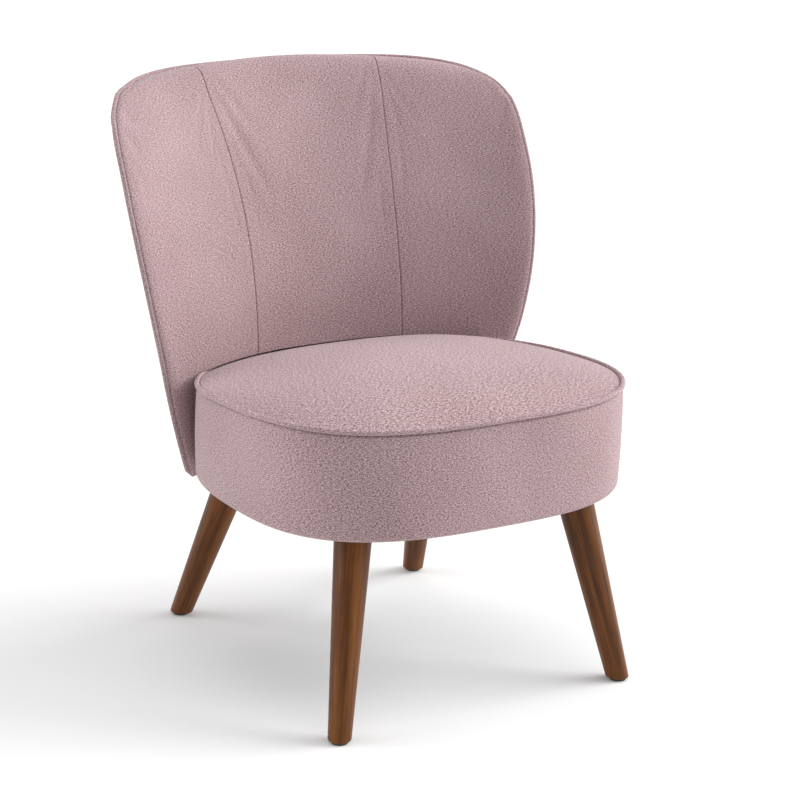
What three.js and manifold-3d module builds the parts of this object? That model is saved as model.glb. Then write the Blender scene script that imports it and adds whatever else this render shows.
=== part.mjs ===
// Armless upholstered chair: a round-cornered drum seat, a back that curls round it, four splayed legs.
// Millimetres, +Z up. The chair faces -Y and is mirror-symmetric in X. The parts are drawn in the
// seat's own frame, on the floor under the middle of the drum, and the finished chair is then
// centred so that its origin is on the floor under the middle of its outer box.
import * as THREE from 'three';
import { mergeVertices } from 'three/addons/utils/BufferGeometryUtils.js';
import Module from 'manifold-3d';

const wasm = await Module();
wasm.setup();

// ---------------------------------------------------------------- driving dimensions
// Seat drum, measured at its piping.
const SEAT_HALF_WIDTH = 280;
const SEAT_FRONT = 235;
const SEAT_REAR = 250;
const FRONT_FULLNESS = 2.85; // superellipse exponents: 2 is an ellipse, more is squarer
const REAR_FULLNESS = 2.6;
const SEAT_UNDERSIDE = 259;
const SEAT_EDGE = 407;
const SEAT_CROWN = 44;
const CROWN_FULLNESS = 2.4;
const REAR_DIP = 20;
const DIP_START = -0.6; // share of the rear depth, in front of the middle, where the dip begins

// Upholstery layers.
const COVER = 2.5;
const PIPING_RADIUS = 3.5;
const PIPING_PROUD = 3;
const SIDE_FOAM = 8;
const HEM = 18;
const LIP_SHARE = 0.985; // how far out, as a share, the seat's top and foam reach at their edges
const FOAM_SHARE = 0.98;
const FOAM_SHOULDER = 5;
const DUST_COVER = 1.2;
const DUST_COVER_INSET = 10;
const GAP = 0.4;
const BACK_GAP = 0.8;
const PIPING_SHOULDER = 1;
const ENVELOPE_DROP = 20;
const GLUE_GAP = 1.2;
const LAYER_GAP = 1;

// Seat frame.
const BOARD_THICKNESS = 15;
const BOARD_OPENING = 0.56;
const RIM_THICKNESS = 12;
const RIM_HEIGHT = 87;
const BLOCK_LENGTH = 60;
const BLOCK_DEPTH = 20;
const BLOCK_HEIGHT = 45;
const STRAP_WIDTH = 50;
const STRAP_THICKNESS = 2;
const LONG_STRAP_PITCH = 100;
const CROSS_STRAP_PITCH = 110;
const LONG_STRAPS = 4;
const CROSS_STRAPS = 3;

// Back, drawn by its rim (the line of the piping) and its front surface.
const BACK_BOTTOM = 247;
const WING_OVERHANG = 43; // how much wider than the seat the back is, on each side
const TIP_SETBACK = 42;
const BACK_HALF_WIDTH = SEAT_HALF_WIDTH + WING_OVERHANG;
const BACK_TIP_HALF_WIDTH = SEAT_HALF_WIDTH - TIP_SETBACK;
const WIDEST_HEIGHT = 645;
const BACK_EDGE_TOP = 776;
const FLANK_POWER = 1.75;
const CORNER_FULLNESS = 5.3;
const BACK_FRONT = 221;
const LEAN_SLOPE = 0.055;
const LEAN_CURVE = 0.00087;
const WING_REACH = 77.2; // how far the wings come forward
const BACK_THICKNESS = 62;
const WING_FULLNESS = 2.8;
const ROLL_HEIGHT = 36;
const ROLL_DEPTH = 38;
const ROLL_TURN = 2.18; // how far the front surface has turned from upright when it meets the piping
const ROLL_FULLNESS = 0.56;
const ROLL_WING_DEPTH = 0.55;
const ROLL_LEVELLING = 8; // how late, towards the wings, the roll's crest flattens out to the rim
const EDGE_ROLL = 10;
const EDGE_ROLL_SHARE = 0.07;
const SHELL_THICKNESS = 12;
const REAR_WADDING = 5;
const SEAM_OFFSET = 118;
const SEAM_FLARE = 29;
const SEAM_GAP = 0.8;
const SEAM_STATION = 0.4;
const SHELL_LIFT = 8;
const SHELL_MARGIN = 45;
const WADDING_MARGIN = 22;
const FOAM_MARGIN = 13;
const COVER_MARGIN = 8.5;
const COVER_TOP_MARGIN = 5;

// Legs, by the middle of each end. The legs are mirrored in X.
const FRONT_FOOT = { x: 222, y: -208 };
const FRONT_SOCKET = { x: 173, y: -148 };
const REAR_FOOT = { x: 199, y: 284 };
const REAR_SOCKET = { x: 156, y: 186 };
const LEG_FOOT_RADIUS = 15.2;
const LEG_TOP_RADIUS = 25;
const GLIDE_HEIGHT = 3;
const GLIDE_RADIUS = 11;

// Fasteners.
const BOLT_RADIUS = 4;
const BOLT_CLEARANCE = 0.6;
const BOLT_IN_LEG = 26;
const NUT_WALL = 1.4;
const NUT_FLANGE_RADIUS = 9;
const NUT_FLANGE = 1.5;
const HEAD_RADIUS = 8;
const HEAD_HEIGHT = 4;
const BACK_BOLT_X = 90;
const BACK_BOLT_HEIGHTS = [305, 340];
const BOLT_TAIL = 3;
const BARREL_SHARE = 0.6;

// Fineness of the curved surfaces.
const SEAT_STEPS = 40;
const ROUND_STEPS = 24;
const SMALL_STEPS = 12;
const PIPING_SIDES = 6;
const ROW_PITCH = 60;
const STRAP_STEPS = 6; // for each strap crossed
const WING_PIPING_STEPS = 16;
const TOP_PIPING_STEPS = 20;
const PIPING_STEPS = 56;
const SPARE = 0.15; // share of its length by which a leg is first turned too long

// ---------------------------------------------------------------- derived levels
const HEM_BOTTOM = SEAT_UNDERSIDE + DUST_COVER + GAP;
const BOARD_BOTTOM = HEM_BOTTOM + COVER + GAP;
const BOARD_TOP = BOARD_BOTTOM + BOARD_THICKNESS;
const RIM_BOTTOM = BOARD_TOP + GAP;
const RIM_TOP = RIM_BOTTOM + RIM_HEIGHT;
const STRAP_PITCH = Math.min(LONG_STRAP_PITCH, CROSS_STRAP_PITCH);
const STRAP_WAVE = (STRAP_THICKNESS + GAP) / 2 / Math.cos((Math.PI * STRAP_WIDTH) / 2 / STRAP_PITCH);
const STRAP_LEVEL = RIM_TOP + GAP + STRAP_THICKNESS / 2 + STRAP_WAVE;
const FOAM_BOTTOM = STRAP_LEVEL + STRAP_WAVE + STRAP_THICKNESS / 2 + GAP;
const SIDE_FOAM_INSET = PIPING_PROUD + COVER + GAP;
const RIM_INSET = SIDE_FOAM_INSET + SIDE_FOAM + GAP;
const RIM_INNER = RIM_INSET + RIM_THICKNESS;
const LEG_TOP = SEAT_UNDERSIDE - GAP;
const CORNER_HEIGHT = BACK_EDGE_TOP - WIDEST_HEIGHT;
const CORNER_SHARE = Math.SQRT1_2 ** (2 / CORNER_FULLNESS);
const CORNER_X = BACK_HALF_WIDTH * CORNER_SHARE;
const WRAP = WING_REACH / BACK_HALF_WIDTH ** 2;
const WING_FORWARD = WRAP + EDGE_ROLL / BACK_HALF_WIDTH ** 2;

// ---------------------------------------------------------------- small helpers
const clamp01 = (t) => Math.min(1, Math.max(0, t));
const mix = (a, b, t) => a + (b - a) * t;
const smooth = (t) => clamp01(t) ** 2 * (3 - 2 * clamp01(t));
const roll = (t) => 1 - Math.sqrt(1 - clamp01(t) ** 2);

function material(color, roughness, metalness = 0) {
  return new THREE.MeshStandardMaterial({ color, roughness, metalness });
}

const finishes = {
  fabric: material(0xb4989b, 0.9),
  piping: material(0xa98d90, 0.9),
  wood: material(0x6b452b, 0.45),
  plywood: material(0xc9a877, 0.7),
  foam: material(0xe9dfb8, 0.95),
  wadding: material(0xf0eeea, 0.95),
  webbing: material(0x2b2a2c, 0.85),
  lining: material(0x1d1d1f, 0.9),
  steel: material(0xb9bcc0, 0.35, 1),
  nylon: material(0x2e2a27, 0.5),
};

// Swaps every triangle round when the closed surface encloses a negative volume.
function faceOutward(geometry) {
  const position = geometry.getAttribute('position');
  const index = geometry.getIndex();
  const corner = [new THREE.Vector3(), new THREE.Vector3(), new THREE.Vector3()];
  let volume = 0;
  for (let i = 0; i < index.count; i += 3) {
    corner.forEach((c, k) => c.fromBufferAttribute(position, index.getX(i + k)));
    volume += corner[0].dot(corner[1].cross(corner[2]));
  }
  if (volume < 0) {
    for (let i = 0; i < index.count; i += 3) {
      const first = index.getX(i);
      index.setX(i, index.getX(i + 1));
      index.setX(i + 1, first);
    }
  }
  return geometry;
}

// Moves every vertex of a geometry by a rule and closes it up again.
function reshape(geometry, rule) {
  const bare = geometry.clone();
  bare.deleteAttribute('normal');
  bare.deleteAttribute('uv');
  const position = bare.getAttribute('position');
  const point = new THREE.Vector3();
  for (let i = 0; i < position.count; i += 1) {
    point.fromBufferAttribute(position, i);
    rule(point);
    position.setXYZ(i, point.x, point.y, point.z);
  }
  return faceOutward(mergeVertices(bare, 1e-3));
}

const closed = (geometry) => reshape(geometry, () => {});

function solid(geometry) {
  const index = geometry.getIndex();
  return new wasm.Manifold(new wasm.Mesh({
    numProp: 3,
    vertProperties: new Float32Array(geometry.getAttribute('position').array),
    triVerts: new Uint32Array(index.array),
  }));
}

function surface(body) {
  const mesh = body.getMesh();
  const geometry = new THREE.BufferGeometry();
  geometry.setAttribute('position', new THREE.BufferAttribute(mesh.vertProperties, 3));
  geometry.setIndex(new THREE.BufferAttribute(mesh.triVerts, 1));
  return mergeVertices(geometry, 1e-3);
}

const cut = (geometry, ...tools) => surface(
  tools.reduce((body, tool) => body.subtract(solid(tool)), solid(geometry)),
);

const chair = new THREE.Group();

function add(name, geometry, finish) {
  const mesh = new THREE.Mesh(geometry, finish);
  mesh.name = name;
  chair.add(mesh);
  return mesh;
}

// An upright cylinder between two heights.
function post(x, y, bottom, top, radius, steps = SMALL_STEPS) {
  const cylinder = new THREE.CylinderGeometry(radius, radius, top - bottom, steps);
  return closed(cylinder.rotateX(Math.PI / 2).translate(x, y, (top + bottom) / 2));
}

// A rod along Y between two depths.
function rod(x, z, front, rear, radius) {
  const cylinder = new THREE.CylinderGeometry(radius, radius, rear - front, SMALL_STEPS);
  return closed(cylinder.translate(x, (front + rear) / 2, z));
}

// ---------------------------------------------------------------- the seat's outline
// Half-depth and fullness of the half of the outline that a point is in.
const outlineHalf = (y) => (y < 0 ? [SEAT_FRONT, FRONT_FULLNESS] : [SEAT_REAR, REAR_FULLNESS]);

// A point of the outline at an angle from +X, moved inwards by an inset along its normal.
function outlinePoint(angle, inset) {
  const cosine = Math.cos(angle);
  const sine = Math.sin(angle);
  const [depth, fullness] = outlineHalf(sine);
  const across = Math.abs(cosine) / SEAT_HALF_WIDTH;
  const along = Math.abs(sine) / depth;
  const reach = (across ** fullness + along ** fullness) ** (-1 / fullness);
  const normal = new THREE.Vector2(
    Math.sign(cosine) * across ** (fullness - 1) / SEAT_HALF_WIDTH,
    Math.sign(sine) * along ** (fullness - 1) / depth,
  ).setLength(inset);
  return new THREE.Vector2(reach * cosine, reach * sine).sub(normal);
}

// Depth of the outline, forwards (-1) or backwards (+1), at a distance x from the middle.
function outlineDepth(x, inset, side) {
  const [depth, fullness] = outlineHalf(side);
  const share = 1 - Math.abs(x / (SEAT_HALF_WIDTH - inset)) ** fullness;
  return side * (depth - inset) * Math.max(0, share) ** (1 / fullness);
}

function outlineWidth(y, inset) {
  const [depth, fullness] = outlineHalf(y);
  const share = 1 - Math.abs(y / (depth - inset)) ** fullness;
  return (SEAT_HALF_WIDTH - inset) * Math.max(0, share) ** (1 / fullness);
}

const outline = (inset, scale = 1) => Array.from({ length: SEAT_STEPS }, (_, i) => (
  outlinePoint((2 * Math.PI * i) / SEAT_STEPS, inset).multiplyScalar(scale)
));

// The soft top of the seat sinks a little towards the back.
function sink(point) {
  const share = clamp01((point.z - FOAM_BOTTOM) / (SEAT_EDGE - FOAM_BOTTOM));
  const back = (point.y / SEAT_REAR - DIP_START) / (1 - DIP_START);
  point.z -= REAR_DIP * share * smooth(back);
}

// Turns a closed section of (inset, height) points into a ring that follows the outline.
function ring(section) {
  const reach = SEAT_HALF_WIDTH;
  const points = [...section, section[0]].map(([inset, z]) => new THREE.Vector2(reach - inset, z));
  return reshape(new THREE.LatheGeometry(points, SEAT_STEPS), (p) => {
    const inset = reach - Math.hypot(p.x, p.z);
    const place = outlinePoint(Math.atan2(p.x, p.z), inset);
    p.set(place.x, place.y, p.y);
    sink(p);
  });
}

// Turns a section of (share of the way out, height) points, from axis to axis, into a full slab.
function slab(section, inset) {
  const points = section.map(([share, z]) => new THREE.Vector2(share, z));
  return reshape(new THREE.LatheGeometry(points, SEAT_STEPS), (p) => {
    const share = Math.hypot(p.x, p.z);
    const place = outlinePoint(Math.atan2(p.x, p.z), inset).multiplyScalar(share);
    p.set(share < 1e-6 ? 0 : place.x, share < 1e-6 ? 0 : place.y, p.y);
    sink(p);
  });
}

// A flat plate with the outline's shape, and with an opening of the same shape if asked for.
function plate(inset, bottom, thickness, opening = null) {
  const shape = new THREE.Shape(outline(inset));
  if (opening) {
    shape.holes.push(new THREE.Path(opening));
  }
  const extruded = new THREE.ExtrudeGeometry(shape, { depth: thickness, bevelEnabled: false });
  return closed(extruded.translate(0, 0, bottom));
}

const domeShares = [0, 0.3, 0.55, 0.75, 0.9, 1];
const domeHeight = (share) => SEAT_CROWN * (1 - share ** CROWN_FULLNESS);

// The crowned top, from the middle outwards, drawn to some edge level.
const dome = (edge) => domeShares.map((share) => [share, edge + domeHeight(share)]);

// ---------------------------------------------------------------- seat frame
const sockets = [
  { name: 'front_left', foot: FRONT_FOOT, socket: FRONT_SOCKET, side: -1 },
  { name: 'front_right', foot: FRONT_FOOT, socket: FRONT_SOCKET, side: 1 },
  { name: 'rear_left', foot: REAR_FOOT, socket: REAR_SOCKET, side: -1 },
  { name: 'rear_right', foot: REAR_FOOT, socket: REAR_SOCKET, side: 1 },
];
const NUT_RADIUS = BOLT_RADIUS + GAP + NUT_WALL;
const legBoltX = ({ socket, side }) => side * socket.x;

const boardHoles = sockets.map((s) => (
  post(legBoltX(s), s.socket.y, BOARD_BOTTOM - 1, BOARD_TOP + 1, NUT_RADIUS + GAP)
));
const liningHoles = sockets.map((s) => (
  post(legBoltX(s), s.socket.y, SEAT_UNDERSIDE - 1, BOARD_BOTTOM, BOLT_RADIUS + BOLT_CLEARANCE)
));

const backBolts = BACK_BOLT_HEIGHTS.flatMap((z) => [{ x: -BACK_BOLT_X, z }, { x: BACK_BOLT_X, z }]);
const backBoltHoles = backBolts.map(({ x, z }) => (
  rod(x, z, 0, SEAT_REAR + BACK_THICKNESS / 2, BOLT_RADIUS + BOLT_CLEARANCE)
));

function seatBoard() {
  const opening = outline(RIM_INSET, BOARD_OPENING);
  return cut(plate(RIM_INSET, BOARD_BOTTOM, BOARD_THICKNESS, opening), ...boardHoles);
}

function seatRim() {
  const body = ring([
    [RIM_INSET, RIM_BOTTOM], [RIM_INNER, RIM_BOTTOM], [RIM_INNER, RIM_TOP], [RIM_INSET, RIM_TOP],
  ]);
  return cut(body, ...backBoltHoles);
}

function rimBlock(width, depth, x, y) {
  const box = new THREE.BoxGeometry(width, depth, BLOCK_HEIGHT);
  return closed(box.translate(x, y, RIM_BOTTOM + BLOCK_HEIGHT / 2));
}

function addRimBlocks() {
  const inset = RIM_INNER + GLUE_GAP;
  const front = outlineDepth(BLOCK_LENGTH / 2, inset, -1) + BLOCK_DEPTH / 2;
  const rear = outlineDepth(BLOCK_LENGTH / 2, inset, 1) - BLOCK_DEPTH / 2;
  const side = outlineWidth(BLOCK_LENGTH / 2, inset) - BLOCK_DEPTH / 2;
  add('rim_block_front', rimBlock(BLOCK_LENGTH, BLOCK_DEPTH, 0, front), finishes.wood);
  add('rim_block_rear', rimBlock(BLOCK_LENGTH, BLOCK_DEPTH, 0, rear), finishes.wood);
  add('rim_block_left', rimBlock(BLOCK_DEPTH, BLOCK_LENGTH, -side, 0), finishes.wood);
  add('rim_block_right', rimBlock(BLOCK_DEPTH, BLOCK_LENGTH, side, 0), finishes.wood);
}

// A woven strap lies over one neighbour and under the next, so it rises and falls as a cosine.
const weave = (along, pitch, count, phase) => (
  STRAP_WAVE * Math.cos(Math.PI * (along / pitch + (count - 1) / 2 + phase))
);

function longStrap(index) {
  const x = (index - (LONG_STRAPS - 1) / 2) * LONG_STRAP_PITCH;
  const reach = Math.abs(x) + STRAP_WIDTH / 2;
  const front = outlineDepth(reach, RIM_INSET, -1);
  const rear = outlineDepth(reach, RIM_INSET, 1);
  const box = new THREE.BoxGeometry(STRAP_WIDTH, 1, STRAP_THICKNESS, 1, STRAP_STEPS * CROSS_STRAPS, 1);
  return reshape(box, (p) => {
    const y = mix(front, rear, p.y + 0.5);
    p.set(p.x + x, y, p.z + STRAP_LEVEL + weave(y, CROSS_STRAP_PITCH, CROSS_STRAPS, index));
  });
}

function crossStrap(index) {
  const y = (index - (CROSS_STRAPS - 1) / 2) * CROSS_STRAP_PITCH;
  const reach = outlineWidth(Math.abs(y) + STRAP_WIDTH / 2, RIM_INSET);
  const shorter = Math.min(reach, outlineWidth(-Math.abs(y) - STRAP_WIDTH / 2, RIM_INSET));
  const box = new THREE.BoxGeometry(
    1, STRAP_WIDTH, STRAP_THICKNESS, STRAP_STEPS * LONG_STRAPS, 1, 1,
  );
  return reshape(box, (p) => {
    const x = 2 * shorter * p.x;
    p.set(x, p.y + y, p.z + STRAP_LEVEL - weave(x, LONG_STRAP_PITCH, LONG_STRAPS, index));
  });
}

// ---------------------------------------------------------------- seat upholstery
const PIPING_INSET = PIPING_RADIUS;
const BAND_TOP = SEAT_EDGE - PIPING_RADIUS - GAP;
const TOP_COVER_INSET = PIPING_INSET + PIPING_RADIUS + GAP;

function seatPiping() {
  const section = Array.from({ length: PIPING_SIDES }, (_, i) => {
    const angle = (2 * Math.PI * (i + 0.5)) / PIPING_SIDES;
    const inset = PIPING_INSET + PIPING_RADIUS * Math.cos(angle);
    return [inset, SEAT_EDGE + PIPING_RADIUS * Math.sin(angle)];
  });
  return ring(section);
}

function seatBandCover() {
  const outer = PIPING_PROUD;
  const inner = PIPING_PROUD + COVER;
  const body = ring([
    [outer, HEM_BOTTOM + COVER], [outer + COVER, HEM_BOTTOM], [outer + HEM, HEM_BOTTOM],
    [outer + HEM, HEM_BOTTOM + COVER], [inner, HEM_BOTTOM + COVER], [inner, BAND_TOP],
    [outer, BAND_TOP],
  ]);
  return cut(body, ...backBoltHoles);
}

function seatSideFoam() {
  const inner = SIDE_FOAM_INSET + SIDE_FOAM;
  const bottom = BOARD_BOTTOM;
  const body = ring([
    [SIDE_FOAM_INSET, bottom], [inner, bottom], [inner, RIM_TOP], [SIDE_FOAM_INSET, RIM_TOP],
  ]);
  return cut(body, ...backBoltHoles);
}

function seatTopCover() {
  const lip = SEAT_EDGE - PIPING_RADIUS;
  const outer = dome(SEAT_EDGE);
  const inner = dome(SEAT_EDGE - COVER);
  const hem = [[1, lip], [LIP_SHARE, lip]];
  return slab([...outer, ...hem, ...inner.slice(0, -1).reverse()], TOP_COVER_INSET);
}

function seatFoam() {
  const top = dome(SEAT_EDGE - COVER - GAP);
  const shoulder = SEAT_EDGE - PIPING_RADIUS - COVER - FOAM_SHOULDER;
  const skirt = [[FOAM_SHARE, shoulder], [FOAM_SHARE, FOAM_BOTTOM], [0, FOAM_BOTTOM]];
  return slab([...top.slice(0, -1), ...skirt], TOP_COVER_INSET);
}

// Everything that the back has to stay clear of, grown by the gap between back and seat.
function seatEnvelope() {
  const reach = 1 + (BACK_GAP - PIPING_PROUD) / SEAT_HALF_WIDTH;
  const swell = 1 + BACK_GAP / SEAT_HALF_WIDTH;
  const low = SEAT_EDGE - PIPING_RADIUS - BACK_GAP;
  const high = SEAT_EDGE + PIPING_RADIUS + BACK_GAP;
  const top = dome(SEAT_EDGE + BACK_GAP).slice(0, -1).reverse();
  const floor = SEAT_UNDERSIDE - ENVELOPE_DROP;
  return slab([
    [0, floor], [reach, floor], [reach, low], [swell, low],
    [swell, high - PIPING_SHOULDER], [LIP_SHARE, high], ...top,
  ], 0);
}

// ---------------------------------------------------------------- back surfaces
// Height of the rim above a distance x from the middle.
function rimHeight(x) {
  const share = 1 - Math.abs(x / BACK_HALF_WIDTH) ** CORNER_FULLNESS;
  return WIDEST_HEIGHT + CORNER_HEIGHT * share ** (1 / CORNER_FULLNESS);
}

function rimHalfWidth(z) {
  if (z < WIDEST_HEIGHT) {
    const share = (WIDEST_HEIGHT - z) / (WIDEST_HEIGHT - BACK_BOTTOM);
    return BACK_HALF_WIDTH - (BACK_HALF_WIDTH - BACK_TIP_HALF_WIDTH) * share ** FLANK_POWER;
  }
  const share = 1 - ((z - WIDEST_HEIGHT) / CORNER_HEIGHT) ** CORNER_FULLNESS;
  return BACK_HALF_WIDTH * share ** (1 / CORNER_FULLNESS);
}

function leanAt(z) {
  const rise = Math.max(0, z - SEAT_EDGE);
  return BACK_FRONT + LEAN_SLOPE * rise + LEAN_CURVE * rise ** 2;
}

function leanAngle(z) {
  const rise = z - SEAT_EDGE;
  return rise > 0 ? Math.atan(LEAN_SLOPE + 2 * LEAN_CURVE * rise) : 0;
}

// The curve of the front surface (depth, height) over the top: from the face down to the piping.
function rollCurve(u, top, depth) {
  const start = new THREE.Vector2(leanAt(top - ROLL_HEIGHT), top - ROLL_HEIGHT);
  const rim = new THREE.Vector2(leanAt(top) + depth, top);
  const handle = ROLL_FULLNESS * start.distanceTo(rim);
  const from = leanAngle(start.y);
  const to = mix(Math.PI / 2, ROLL_TURN, (1 - u ** 2) ** 3);
  const leave = new THREE.Vector2(Math.sin(from), Math.cos(from)).multiplyScalar(handle).add(start);
  const arrive = new THREE.Vector2(Math.sin(to), Math.cos(to)).multiplyScalar(-handle).add(rim);
  return new THREE.CubicBezierCurve(start, leave, arrive, rim);
}

// A place on the back: u runs from wing to wing (-1 to 1), v from the bottom edge to the rim (0 to 1).
// It has x, the front surface's depth, height and tilt from upright, and the rear surface's depth
// and height.
function backPlace(u, v) {
  const corner = mix(BACK_BOTTOM, rimHeight(CORNER_X), v);
  const x = u * rimHalfWidth(corner);
  const top = rimHeight(u * CORNER_X);
  const rearZ = mix(BACK_BOTTOM, top, v);
  const rollShare = clamp01(1 - (top - rearZ) / ROLL_HEIGHT);
  const rollDepth = ROLL_DEPTH * mix(1, ROLL_WING_DEPTH, u ** 6);
  const edgeShare = (Math.abs(u) - 1 + EDGE_ROLL_SHARE) / EDGE_ROLL_SHARE;
  const curve = rollCurve(u, top, rollDepth);
  const face = rollShare > 0 ? curve.getPoint(rollShare) : new THREE.Vector2(leanAt(rearZ), rearZ);
  const along = rollShare > 0 ? curve.getTangent(rollShare) : null;
  const tilt = along ? Math.atan2(along.x, along.y) : leanAngle(rearZ);
  const front = face.x - WING_FORWARD * x ** 2 + EDGE_ROLL * roll(edgeShare);
  const thick = BACK_THICKNESS * Math.sqrt(Math.max(0, 1 - Math.abs(u) ** WING_FULLNESS));
  const rimRear = rollDepth + (thick - rollDepth) * Math.sqrt(1 - rollShare ** 2);
  const rear = leanAt(rearZ) - WRAP * x ** 2 + (rollShare > 0 ? rimRear : thick);
  const frontZ = mix(face.y, rearZ, u ** ROLL_LEVELLING);
  return { x, front, frontZ, tilt, rear, rearZ };
}

// Rules for a face of a layer: so far behind the front surface, or so far in front of the rear one.
const behindFront = (depth) => (p) => [
  p.front + depth * Math.cos(p.tilt), p.frontZ - depth * Math.sin(p.tilt),
];
const beforeRear = (depth) => (p) => [p.rear - depth, p.rearZ];

const shareIn = (margin) => 1 - margin / BACK_HALF_WIDTH;
const shareDown = (margin) => 1 - margin / (BACK_EDGE_TOP - BACK_BOTTOM);
const steps = (from, to, count) => Array.from({ length: count }, (_, i) => mix(from, to, i / count));
const EDGES = [SHELL_MARGIN, WADDING_MARGIN, FOAM_MARGIN, COVER_MARGIN];
const TOP_EDGES = [
  SHELL_MARGIN, ROLL_HEIGHT, (ROLL_HEIGHT + WADDING_MARGIN) / 2, WADDING_MARGIN,
  (WADDING_MARGIN + FOAM_MARGIN) / 2, FOAM_MARGIN,
  (FOAM_MARGIN + COVER_TOP_MARGIN) / 2, COVER_TOP_MARGIN,
];

// All layers of the back share the same upright lines (stations) and level lines (rows), so that
// they lie exactly along each other. A station is 0 in the middle, SEAM_STATION at a seam, 1 at
// the rim.
const halfStations = [
  ...steps(0, SEAM_STATION, 2), ...steps(SEAM_STATION, shareIn(SHELL_MARGIN), 3), ...EDGES.map(shareIn),
];
const stations = [...halfStations.slice(1).map((a) => -a).reverse(), ...halfStations];
const SHELL_BOTTOM = SHELL_LIFT / (BACK_EDGE_TOP - BACK_BOTTOM);
const ROW_COUNT = Math.round((BACK_EDGE_TOP - BACK_BOTTOM - SHELL_MARGIN) / ROW_PITCH);
const rows = [
  0, ...steps(SHELL_BOTTOM, shareDown(SHELL_MARGIN), ROW_COUNT), ...TOP_EDGES.map(shareDown),
];

// Share of the width at which the seams run: straight at first, then flaring to the top corners.
function seamShare(v) {
  const z = mix(BACK_BOTTOM, BACK_EDGE_TOP, v);
  const rise = clamp01((z - SEAT_EDGE) / (BACK_EDGE_TOP - SEAT_EDGE));
  const corner = mix(BACK_BOTTOM, rimHeight(CORNER_X), v);
  return (SEAM_OFFSET + SEAM_FLARE * rise ** 3) / rimHalfWidth(corner);
}

function stationShare(station, v) {
  const seam = seamShare(v);
  const out = Math.abs(station);
  const share = out < SEAM_STATION
    ? (out / SEAM_STATION) * seam
    : mix(seam, 1, (out - SEAM_STATION) / (1 - SEAM_STATION));
  return Math.sign(station) * share;
}

// A closed layer of the back between two stations and two rows. Two rules give (depth, height) on
// its front and rear faces from the place on the back, and its edges may be grown outwards.
function backLayer({ left, right, bottom = 0, top, grow = 0, front, rear }) {
  const inside = (value, low, high) => value > low - 1e-6 && value < high + 1e-6;
  const across = stations.filter((a) => inside(a, left, right));
  const up = rows.filter((v) => inside(v, bottom, top));
  across[0] -= grow / BACK_HALF_WIDTH;
  across[across.length - 1] += grow / BACK_HALF_WIDTH;
  up[0] -= grow / (BACK_EDGE_TOP - BACK_BOTTOM);
  up[up.length - 1] += grow / (BACK_EDGE_TOP - BACK_BOTTOM);
  const box = new THREE.BoxGeometry(1, 1, 1, across.length - 1, up.length - 1, 1);
  return reshape(box, (p) => {
    const v = up[Math.round((p.y + 0.5) * (up.length - 1))];
    const station = across[Math.round((p.x + 0.5) * (across.length - 1))];
    const place = backPlace(stationShare(station, v), v);
    const [depth, height] = p.z > 0 ? rear(place) : front(place);
    p.set(place.x, depth, height);
  });
}

const within = (margin, topMargin = margin) => ({
  left: -shareIn(margin), right: shareIn(margin), top: shareDown(topMargin),
});

function backPiping(radius) {
  const points = [];
  const push = (u, v) => {
    const place = backPlace(u, v);
    points.push(new THREE.Vector3(place.x, place.front, place.frontZ));
  };
  for (let i = 0; i < WING_PIPING_STEPS; i += 1) {
    push(-1, i / WING_PIPING_STEPS);
  }
  for (let i = 0; i <= TOP_PIPING_STEPS; i += 1) {
    push(mix(-1, 1, i / TOP_PIPING_STEPS), 1);
  }
  for (let i = WING_PIPING_STEPS - 1; i >= 0; i -= 1) {
    push(1, i / WING_PIPING_STEPS);
  }
  const section = new THREE.Shape(Array.from({ length: PIPING_SIDES }, (_, i) => {
    const angle = (2 * Math.PI * i) / PIPING_SIDES;
    return new THREE.Vector2(radius * Math.cos(angle), radius * Math.sin(angle));
  }));
  const path = new THREE.CatmullRomCurve3(points);
  return closed(new THREE.ExtrudeGeometry(section, { steps: PIPING_STEPS, extrudePath: path }));
}

const seatCut = seatEnvelope();
const pipingRoom = backPiping(PIPING_RADIUS + GAP);

// A thin upright wall along a seam, which parts the panels on its two sides.
function seamWall(side) {
  const box = new THREE.BoxGeometry(1, 1, 1, 1, rows.length - 1, 1);
  return reshape(box, (p) => {
    const v = rows[Math.round((p.y + 0.5) * (rows.length - 1))];
    const place = backPlace(side * seamShare(v), v);
    const [depth, height] = behindFront(p.z > 0 ? 2 * COVER : -COVER)(place);
    p.set(place.x + p.x * SEAM_GAP, depth, height);
  });
}

const seams = [seamWall(-1), seamWall(1)];

// One of the three pieces of the front cover.
function frontPanel(left, right) {
  const panel = backLayer({
    left, right, top: shareDown(COVER_TOP_MARGIN), front: behindFront(0), rear: behindFront(COVER),
  });
  return cut(panel, seatCut, pipingRoom, ...seams);
}

function outerCover() {
  const cover = backLayer({
    ...within(COVER_MARGIN, COVER_TOP_MARGIN), front: beforeRear(COVER), rear: beforeRear(0),
  });
  return cut(cover, seatCut, pipingRoom);
}

// Depths of the layers, counted from the rear surface.
const LINING_DEPTH = COVER + LAYER_GAP;
const SHELL_REAR_DEPTH = LINING_DEPTH + REAR_WADDING + LAYER_GAP;
const SHELL_FRONT_DEPTH = SHELL_REAR_DEPTH + SHELL_THICKNESS;

function backShell() {
  const shell = backLayer({
    ...within(SHELL_MARGIN), bottom: SHELL_BOTTOM,
    front: beforeRear(SHELL_FRONT_DEPTH), rear: beforeRear(SHELL_REAR_DEPTH),
  });
  return cut(shell, seatCut, ...backBoltHoles);
}

function rearWadding() {
  return cut(backLayer({
    ...within(WADDING_MARGIN), bottom: SHELL_BOTTOM,
    front: beforeRear(LINING_DEPTH + REAR_WADDING), rear: beforeRear(LINING_DEPTH),
  }), seatCut, ...backBoltHoles);
}

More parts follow.
